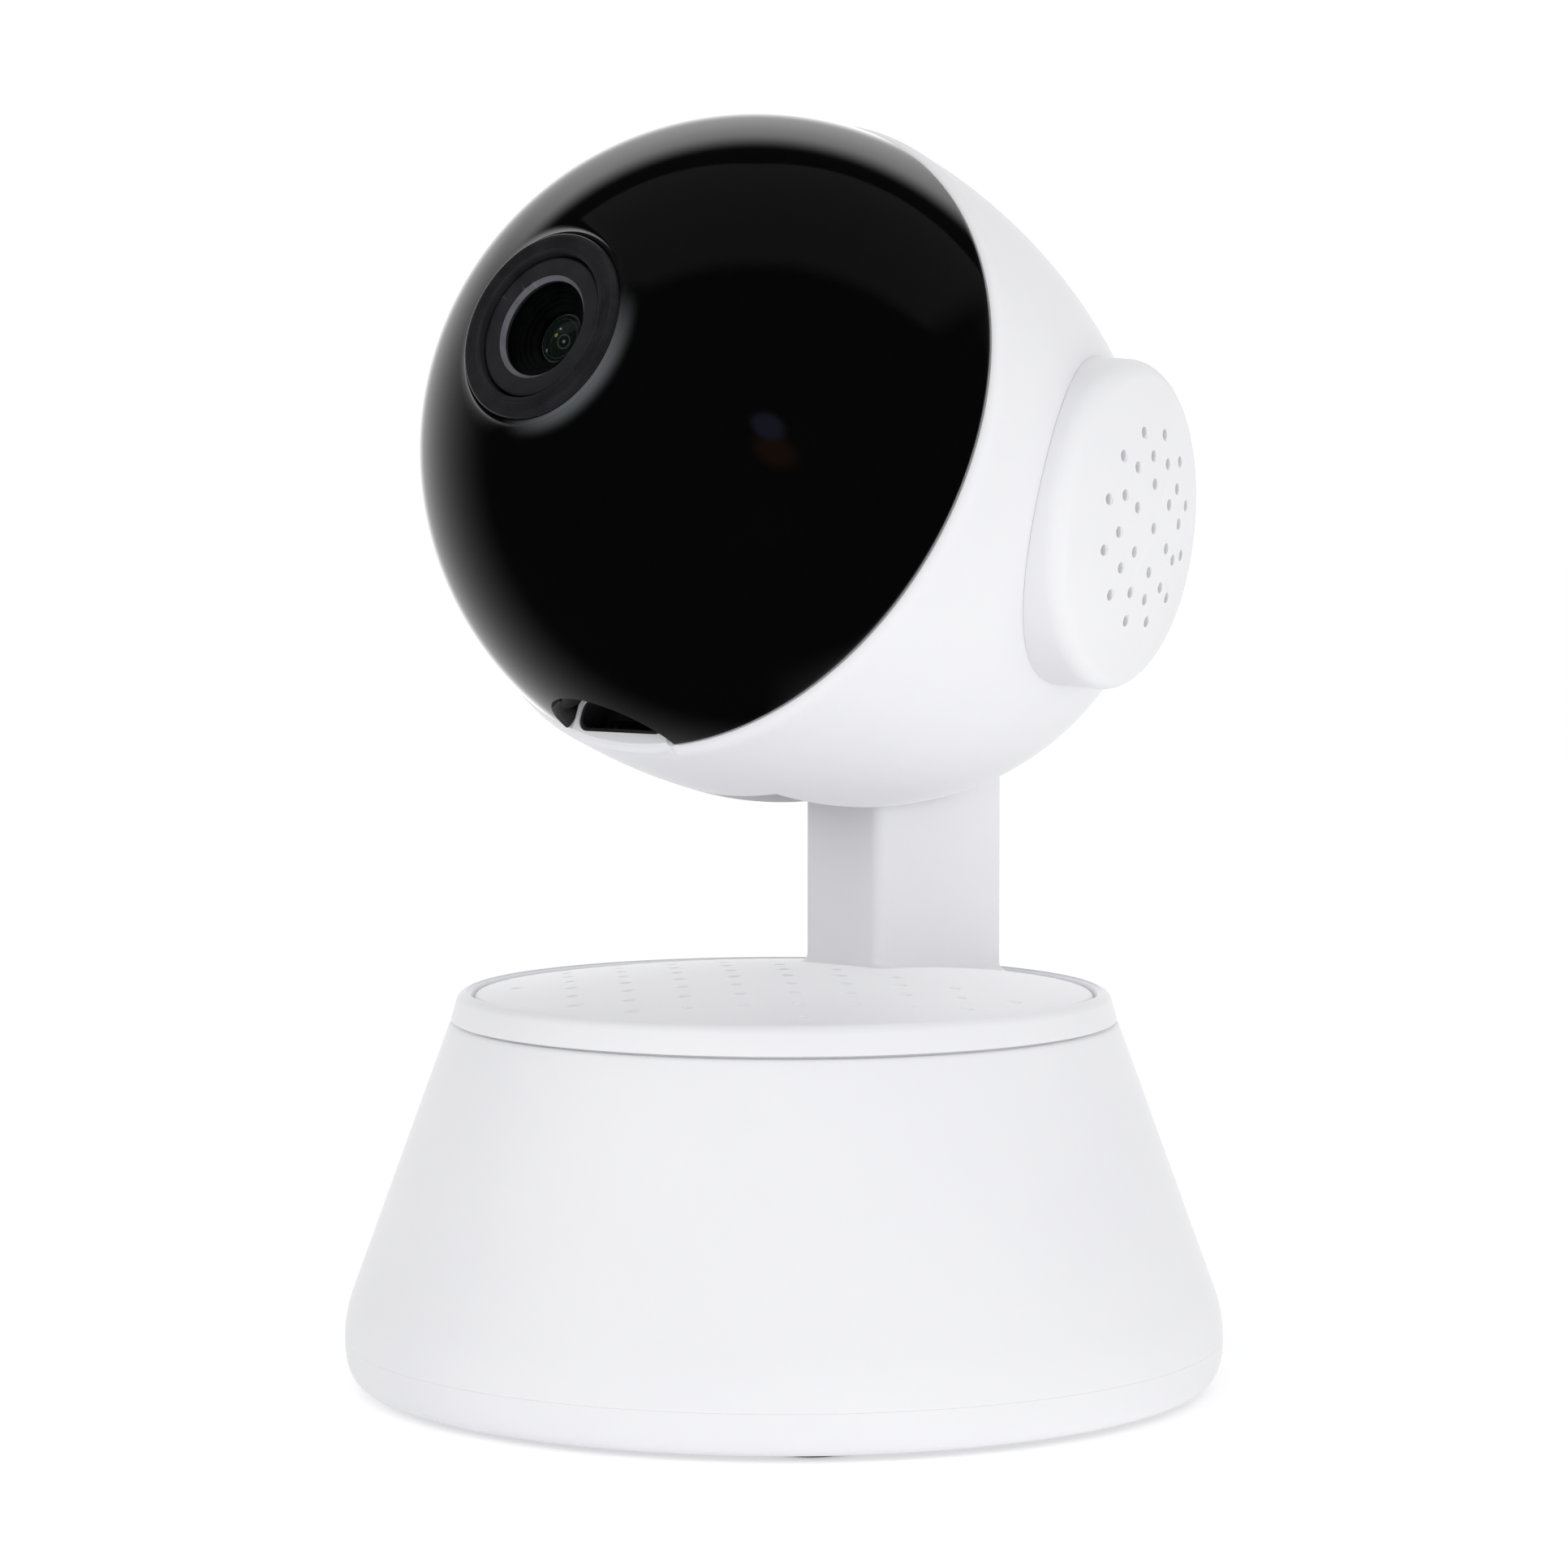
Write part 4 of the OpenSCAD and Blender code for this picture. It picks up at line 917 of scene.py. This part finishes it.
def make_card_liner():
    """Black liner of the mouth with the card slit in its back wall."""
    place = mouth_place()
    back = MOUTH_BACK + 0.3
    less = 2 * LINER_GAP
    outside = rectangle(MOUTH_W - less, MOUTH_OPEN - less, 1.55)
    less = 2 * LINER_WALL
    inside = rectangle(MOUTH_W - less, MOUTH_OPEN - less, 1.2)
    liner = prism("card_liner", outside, back, SCOOP_S - 0.15, place)
    carve(liner, prism("inside", inside, back + LINER_BACK, SCOOP_S, place))
    slit_place = HEAD @ at(MOUTH_X, MOUTH_U + SLIT_UP)
    carve(liner, prism("slit", rectangle(SLIT_W, SLIT_H, 0.2), back - 1, back + 2, slit_place))
    finish_piece(liner, "head", BLACK, "black_plastic", "card_frame")


def scoop_tool(grow, roof, soft):
    """Cone that forms the scoop, with a softened roof edge. It grows by a margin."""
    top = SCOOP_U + roof
    top_r = SCOOP_R - SCOOP_SLOPE * (top - SURFACE_U) + grow
    outline = [(0, 0), (top_r, 0), (top_r + 12 * SCOOP_SLOPE, 12), (0, 12)]
    profile = [(max(r, 0), z) for r, z in rounded(outline, soft, 10)]
    place = HEAD @ at(SCOOP_X, top, SCOOP_S) @ Matrix.Rotation(pi / 2, 4, "X")
    return turned("scoop", profile, place, steps=160)


def slab(name, width, depth, low, high, x=0.0, u=0.0):
    """Block in the head frame, centred across and up, from low to high along the lens."""
    return prism(name, rectangle(width, depth, 0.05, 1), low, high, HEAD @ at(x, u))


COLLAR_FLARE_R = 12.9         # the dome starts to rise to the lens collar here
COLLAR_BEND = (11.3, 36.15)   # radius and place along the lens that the rise bends at
COLLAR_ROUND = 0.25
SHIELD_ROUND = 0.45
SCOOP_LINER = 1.4             # thickness of the shield round the scoop


def ball_at(r, s):
    """Radius, round the lens axis, of a ball of radius r at a place along the axis."""
    return sqrt(r ** 2 - s ** 2)


def shield_outline():
    """Closed outline of the dome with its raised lens collar."""
    edge = asin_deg(SPLIT_S / SHIELD_R)
    start = (COLLAR_FLARE_R, ball_at(SHIELD_R, COLLAR_FLARE_R))
    collar = BEZEL_R + 0.55
    top = BEZEL_S - 0.75
    rim_r = ball_at(SHIELD_R, SPLIT_S)
    above = SPLIT_S + SHIELD_ROUND
    foot = (rim_r - SHIELD_ROUND, SPLIT_S)
    outer = [foot] + curve(foot, (rim_r, SPLIT_S), (ball_at(SHIELD_R, above), above), 6)
    outer += arc(0, 0, SHIELD_R, edge + 1.4, asin_deg(start[1] / SHIELD_R), 90)
    shoulder = (collar, top - COLLAR_ROUND)
    outer += curve(start, COLLAR_BEND, shoulder, 24)
    outer += curve(shoulder, (collar, top), (collar - COLLAR_ROUND, top), 4)
    bore_r, bore_s = BEZEL_R + 0.1, 33.6
    inside = SHIELD_R - SHIELD_WALL
    inner = arc(0, 0, inside, asin_deg((bore_s - 0.6) / inside), asin_deg(SPLIT_S / inside), 24)
    return outer + [(bore_r, top), (bore_r, bore_s)] + inner


def make_shield():
    shield = turned("shield_dome", shield_outline(), HEAD, closed=True)
    limit = rod("limit", 40, SPLIT_S + 0.05, 45, HEAD, TURN)
    ball_r = SHIELD_R - 0.3
    ball = arc(0, 0, ball_r, -90, 90, 96)
    ball = [(max(r, 0), s) for r, s in ball[:-1]] + [(0, ball_r)]
    carve(limit, turned("ball", ball, HEAD), "INTERSECT")
    liner = scoop_tool(SCOOP_LINER, SCOOP_LINER, 1.6)
    carve(liner, limit, "INTERSECT")
    carve(shield, liner, "UNION")
    carve(shield, scoop_tool(0, 0, 1.8))
    carve(shield, slab("gap", TONGUE_W + 0.6, 20, SPLIT_S - 5, SPLIT_S + 0.02, TONGUE_X, SCOOP_U - 8.6))
    finish_piece(shield, "head", SMOKED, "smoked_plastic", "front_shield")


LIP_ROUND = 2.2               # length of the curve at the shell's front edge
TONGUE_H = 14.0


def shell_profile():
    """Outline of the hollow rear shell, outside, front edge and inside."""
    front = SPLIT_S - SEAM_GAP
    outer = tail_profile(0, front - LIP_ROUND)
    last = outer[-1]
    lip_r = SHIELD_R - 0.78
    outer += curve(last, (last[0] + 0.06, front - 0.75), (lip_r, front), 10)
    step_r = SHIELD_R - 2.2
    step = [(lip_r - 0.35, front), (step_r, front), (step_r, front - 1.1)]
    return outer + step + tail_profile(SHELL_WALL, front - 1.1)[::-1]


def head_solid():
    """The whole head without its hollow, scooped out in front."""
    front = SPLIT_S - SEAM_GAP
    low = front - 0.05
    ball_r = SHIELD_R - 0.05
    ball = arc(0, 0, ball_r, asin_deg(low / SHIELD_R), 89.9, 60)
    half = turned("half", [(0, low)] + ball + [(0, ball_r)], HEAD)
    carve(half, scoop_tool(-0.1, 3, 0.5), "INTERSECT")
    tail = turned("tail", tail_profile(0.05, front) + [(0, front)], HEAD)
    return carve(tail, half, "UNION")


def make_rear_shell():
    shell = turned("rear_housing", shell_profile(), HEAD)
    tongue = slab("tongue", TONGUE_W, TONGUE_H, MOUTH_BACK, SCOOP_S, TONGUE_X, SCOOP_U - TONGUE_H / 2 - 0.1)
    carve(tongue, head_solid(), "INTERSECT")
    carve(shell, tongue, "UNION")
    carve(shell, prism("mouth", rectangle(MOUTH_W, MOUTH_OPEN, MOUTH_ROUND), -3, 17, mouth_place()))
    carve(shell, slot_tool())
    finish_piece(shell, "head", WHITE, "white_plastic", "rear_shell")


SLOT_W = NECK_W + 1
SLOT_FRONT = radians(21.3)
SLOT_RISE = 13.0


def slot_tool():
    """Prism of the slot that the neck swings in."""
    reach = 60
    behind = -90
    low = -reach * cos(SLOT_FRONT)
    front = -TILT_BACK + reach * sin(SLOT_FRONT)
    outline = [(-TILT_BACK, 0), (front, low), (behind, low), (behind, SLOT_RISE), (-TILT_BACK, SLOT_RISE)]
    across = HEAD @ Matrix(((0, 0, 1, 0), (0, 1, 0, 0), (1, 0, 0, 0), (0, 0, 0, 1)))
    return prism("slot", outline, -SLOT_W / 2, SLOT_W / 2, across)


EAR_ROWS = (3, 6, 9, 12, 14, 15)   # radii of the mesh rows on the face
EAR_HOLLOW_R = 13.4
EAR_FACE_WALL = 2.3
EAR_SUNK = -9                 # the ear's inner end, inside the shell
SOUND_RINGS = ((4.9, 6, -8), (8.0, 12, -7), (10.8, 12, 3))   # radius, holes, first angle
SOUND_FLARE = 0.14
SOUND_EDGE = 0.2


def ear_place(side):
    """Frame of an ear: Z out of it. side is 1 for the right ear and -1 for the left."""
    ear_x = ball_at(TAIL_BIG, EAR_BACK) - TAIL_IN
    mirror = Matrix.Scale(side, 4, (1, 0, 0))
    turn = Matrix.Rotation(pi / 2 + EAR_CANT, 4, "Y")
    return HEAD @ mirror @ at(ear_x, 0, -EAR_BACK) @ turn


def face_drop(r):
    """How far the domed ear face falls from its middle."""
    return EAR_DOME - sqrt(EAR_DOME ** 2 - r * r)


def sound_holes():
    """Places of the sound holes on an ear's face."""
    places = [(0, 0)]
    for ring_r, count, first in SOUND_RINGS:
        for i in range(count):
            a = radians(first + i * 360 / count)
            places.append((ring_r * cos(a), ring_r * sin(a)))
    return places


def sound_tool(place, x, y):
    """Cutter of one sound hole, which flares at the face."""
    top = EAR_OUT - face_drop(hypot(x, y))
    flare = SOUND_R + SOUND_FLARE
    bend = (SOUND_R, top - SOUND_EDGE)
    profile = [(0, -1), (SOUND_R, -1), bend]
    profile += curve(bend, (SOUND_R, top), (flare, top + 0.02), 4)
    profile += [(flare, top + 1), (0, top + 1)]
    return turned("sound", profile, place @ at(x, y), steps=28)


def make_ear(name, side, node):
    place = ear_place(side)
    edge_r = EAR_R - EAR_RIM
    tip = degrees(acos(edge_r / EAR_DOME))
    outer = [(0, EAR_OUT)] + [(r, EAR_OUT - face_drop(r)) for r in EAR_ROWS]
    outer += arc(edge_r, EAR_OUT - face_drop(edge_r) - EAR_RIM, EAR_RIM, tip + 1, 0, 16)
    ceiling = EAR_OUT - EAR_FACE_WALL
    inner = [(EAR_R, EAR_SUNK), (EAR_HOLLOW_R, EAR_SUNK), (EAR_HOLLOW_R, ceiling - 0.3),
             (EAR_HOLLOW_R - 0.6, ceiling), (0, ceiling)]
    ear = turned(name, outer + inner, place, steps=192)
    carve(ear, turned("tail", tail_profile(-0.05, 30) + [(0, 30)], HEAD))
    carve(ear, joined([sound_tool(place, x, y) for x, y in sound_holes()]))
    finish_piece(ear, "head", WHITE, "white_plastic", node)


# ---------------------------------------------------------------- lens

LENS_DEEP = 5.0               # length of the bezel along the lens
GROOVES = 9
GROOVE_STEPS = 6
GROOVE_DEEP = 0.018
DISH = 0.05                   # fall of the grooved face towards the middle


def make_bezel():
    """Outer lens ring with fine turned grooves and a raised lip."""
    top = BEZEL_S
    inside_r = GROOVE_R + 0.15
    profile = [(inside_r, top - LENS_DEEP), (BEZEL_R, top - LENS_DEEP), (BEZEL_R, top - 0.5)]
    profile += curve(profile[-1], (BEZEL_R, top), (BEZEL_R - 0.5, top), 6)
    first, last = BEZEL_R - 0.6, GROOVE_R + 0.95
    count = GROOVES * GROOVE_STEPS
    for i in range(count + 1):
        r = first + (last - first) * i / count
        wave = 1 - cos(2 * pi * i / GROOVE_STEPS)
        profile.append((r, top - (DISH * (first - r) / (first - last) + GROOVE_DEEP * wave)))
    lip = [(GROOVE_R + 0.75, top - 0.14), (GROOVE_R + 0.62, top + 0.02), (GROOVE_R + 0.3, top + 0.02),
           (inside_r, top - 0.2)]
    profile += rounded([profile[-1]] + lip, 0.08, 3)[1:]
    ring = turned("lens_surround", profile, HEAD, closed=True)
    finish_piece(ring, "head", BEZEL, "lens_black", "lens_bezel", sharp=60)


RING_DEEP = 4.0
CHAMFER_OUT, CHAMFER_DEEP = 0.45, 0.55
CHAMFER_TOP = 0.08            # where the cone starts under the ring's face


def make_lens_ring():
    face = BEZEL_S - 0.5
    out = GROOVE_R - 0.15
    back_r = APERTURE_R + 0.7
    flat_r = APERTURE_R + 0.62
    cone_r = APERTURE_R + CHAMFER_OUT
    profile = [(back_r, face - RING_DEEP), (out, face - RING_DEEP), (out, face - 0.25)]
    profile += curve(profile[-1], (out, face), (out - 0.3, face), 4)
    profile += [(flat_r, face)]
    profile += curve((flat_r, face), (APERTURE_R + 0.5, face), (cone_r, face - CHAMFER_TOP), 3)
    profile += [(APERTURE_R, face - CHAMFER_DEEP), (APERTURE_R, face - 0.9), (back_r, face - 1.2)]
    ring = turned("lens_inner_ring", profile, HEAD, closed=True)
    finish_piece(ring, "head", RING, "lens_black", "lens_ring", sharp=40)
    # the chamfer's cone gets the lighter copy of the finish, a painted highlight
    ring.data.materials.append(CHAMFER_PAINTED_HIGHLIGHT)
    from_row = HEAD.inverted()
    for side in ring.data.polygons:
        middle = from_row @ (side.center / MM)
        on_cone = face - CHAMFER_DEEP - 0.01 < middle.z < face - CHAMFER_TOP
        if on_cone and hypot(middle.x, middle.y) < cone_r + 0.02:
            side.material_index = 1


BARREL_R = 6.0
BARREL_TAIL_R, BARREL_TAIL_S = 4.2, 15.5
BARREL_BORE_R = 4.9
FUNNEL_STEPS = 5
FUNNEL_DEEP = 1.45


def make_barrel():
    """Stepped black funnel that the front element sits in."""
    top = BEZEL_S - 1.45
    seat = GLASS_R - 0.15
    profile = [(seat, top - 5.4), (seat, top - 2.0), (GLASS_R + 0.1, top - 1.9)]
    for i in range(FUNNEL_STEPS):
        r = GLASS_R + 0.2 + (APERTURE_R + 0.35 - GLASS_R) * i / FUNNEL_STEPS
        z = top - FUNNEL_DEEP - 0.4 + FUNNEL_DEEP * i / FUNNEL_STEPS
        profile += [(r, z), (r + 0.36, z + 0.06), (r + 0.40, z + 0.26)]
    profile += [(APERTURE_R + 0.58, top - 0.3), (APERTURE_R + 0.6, top - 3), (BARREL_R, top - 3),
                (BARREL_R, BARREL_TAIL_S), (BARREL_TAIL_R, BARREL_TAIL_S), (BARREL_TAIL_R, top - 12),
                (BARREL_BORE_R, top - 12), (BARREL_BORE_R, top - 5.4)]
    barrel = turned("lens_funnel", profile, HEAD, steps=144, closed=True)
    finish_piece(barrel, "head", BARREL, "lens_black", "lens_barrel")


ELEMENT_BALL = 5.6            # radius of the front element's curved face
ELEMENT_SET_BACK = 8.85       # its centre behind the bezel's face


def make_front_glass():
    """Meniscus front element with a straight edge."""
    r = GLASS_R - 0.2
    spread = asin_deg(r / ELEMENT_BALL)
    front = arc(0, BEZEL_S - ELEMENT_SET_BACK, ELEMENT_BALL, 90, 90 - spread, 24)
    front[0] = (0, front[0][1])
    edge_z = front[-1][1]
    profile = front + [(r, edge_z - 0.9), (0, edge_z - 1.1)]
    glass = turned("front_element", profile, HEAD, steps=128)
    finish_piece(glass, "head", GLASS, "lens_glass", "front_glass", sharp=40)


make_base_shell()
make_rim()
make_bottom_cover()
make_feet()
make_reset_button()
make_turntable()
make_neck()
make_shield()
make_rear_shell()
make_card_liner()
make_ear("right_ear", 1, "ear_cap_right")
make_ear("left_ear", -1, "ear_cap_left")
make_bezel()
make_lens_ring()
make_barrel()
make_front_glass()


# ---------------------------------------------------------------- floor and light

FLOOR_HALF = 4.0              # metres
FLOOR_GLOW = 0.27


def make_floor():
    mesh = bpy.data.meshes.new("floor")
    corners = [(sx * FLOOR_HALF, sy * FLOOR_HALF, 0) for sx, sy in ((-1, -1), (1, -1), (1, 1), (-1, 1))]
    mesh.from_pydata(corners, [], [(0, 1, 2, 3)])
    floor = bpy.data.objects.new("floor", mesh)
    scene.collection.objects.link(floor)
    material, tree, shader, place = new_material("floor_pale")
    drift = noise(tree, place, 0.004, detail=3)
    tint = blend_colours(tree, drift, (0.90, 0.90, 0.90), (0.92, 0.92, 0.92))
    feed(tree, shader, {"Base Color": tint, "Roughness": 0.9, "Specular IOR Level": 0.1,
                        "Emission Color": (1, 1, 1, 1), "Emission Strength": FLOOR_GLOW})
    floor.data.materials.append(material)
    floor.visible_glossy = False


AMBIENT = 0.83                # light from all round
BACKDROP = 0.3                # added where the surroundings are seen directly
DARK = 0.012                  # levels of what is mirrored: the unlit studio,
CEILING = 0.085               # a dim panel overhead,
WALL_MIDDLE = 0.7             # the middle of the back wall
TABLE = 0.7                   # and the table on the right


def back_wall(tree, behind, right, height):
    """Bright wall behind the object, fading out to the sides and cut off sharply by a flag above."""
    reach = plus(tree, behind, times(tree, smooth(tree, right, 0.1, 0.8), 0.18))
    wall = math(tree, "POWER", share(tree, reach, 0.2, 1.0), 1.5)
    above = smooth(tree, height, 0.35, 0.6)
    cut = smooth(tree, behind, 0.54, 0.72)
    keep = minus(tree, 1.0, above)
    return plus(tree, times(tree, wall, keep), times(tree, cut, above))


def ceiling_panel(tree, behind, right, height):
    """1 on a panel overhead, in the directions that a flat ceiling has."""
    over = math(tree, "MAXIMUM", height, 0.05)
    along = math(tree, "DIVIDE", behind, over)
    sideways = math(tree, "ABSOLUTE", math(tree, "DIVIDE", right, over))
    far_edge = plus(tree, 0.43, times(tree, sideways, 0.22))
    panel = smooth(tree, minus(tree, far_edge, along), 0.0, 0.03)
    for value, low, high in ((along, -0.55, -0.38), (sideways, 1.7, 1.2), (height, 0.1, 0.3)):
        panel = times(tree, panel, smooth(tree, value, low, high))
    return panel


def make_studio():
    """White surroundings for soft light, and a dark studio with a bright back wall for reflections."""
    world = bpy.data.worlds.new("studio")
    scene.world = world
    world.use_nodes = True
    tree = world.node_tree
    tree.nodes.clear()
    way = add(tree, "TexCoord").outputs["Generated"]
    behind = dot(tree, way, (-sin(CAMERA_TURN), cos(CAMERA_TURN), 0))
    right = dot(tree, way, (cos(CAMERA_TURN), sin(CAMERA_TURN), 0))
    height = dot(tree, way, (0, 0, 1))
    middle = smooth(tree, behind, 0.9, 0.99)
    table = times(tree, smooth(tree, behind, -0.3, 0.25), smooth(tree, height, -0.3, -0.75),
                  smooth(tree, right, 0.0, 0.5))
    glow = back_wall(tree, behind, right, height)
    panel = ceiling_panel(tree, behind, right, height)
    for part, level in ((panel, CEILING), (middle, WALL_MIDDLE), (table, TABLE)):
        glow = plus(tree, glow, times(tree, part, level))
    glow = plus(tree, glow, DARK)
    path = add(tree, "LightPath")
    levels = {0: path.outputs["Is Glossy Ray"], 2: AMBIENT, 3: glow}
    level = add(tree, "Mix", levels, data_type="FLOAT").outputs[0]
    strength = plus(tree, level, times(tree, path.outputs["Is Camera Ray"], BACKDROP))
    ground = add(tree, "Background", {"Color": (1, 1, 1, 1), "Strength": strength})
    add(tree, "OutputWorld", {"Surface": ground.outputs[0]})


LIT_POINT = Vector((0, 0, 0.07))   # metres


def make_softbox(name, place, size, power):
    data = bpy.data.lights.new(name, "AREA")
    data.size = size
    data.energy = power
    lamp = bpy.data.objects.new(name, data)
    scene.collection.objects.link(lamp)
    lamp.location = place
    lamp.rotation_euler = (LIT_POINT - Vector(place)).to_track_quat("-Z", "Y").to_euler()
    lamp.visible_glossy = False


make_floor()
make_studio()
make_softbox("front", (-0.25, -1.1, 0.58), 0.6, 1.5)
make_softbox("side", (0.9, -0.30, 0.12), 0.25, 1.3)
scene.view_settings.view_transform = "Standard"
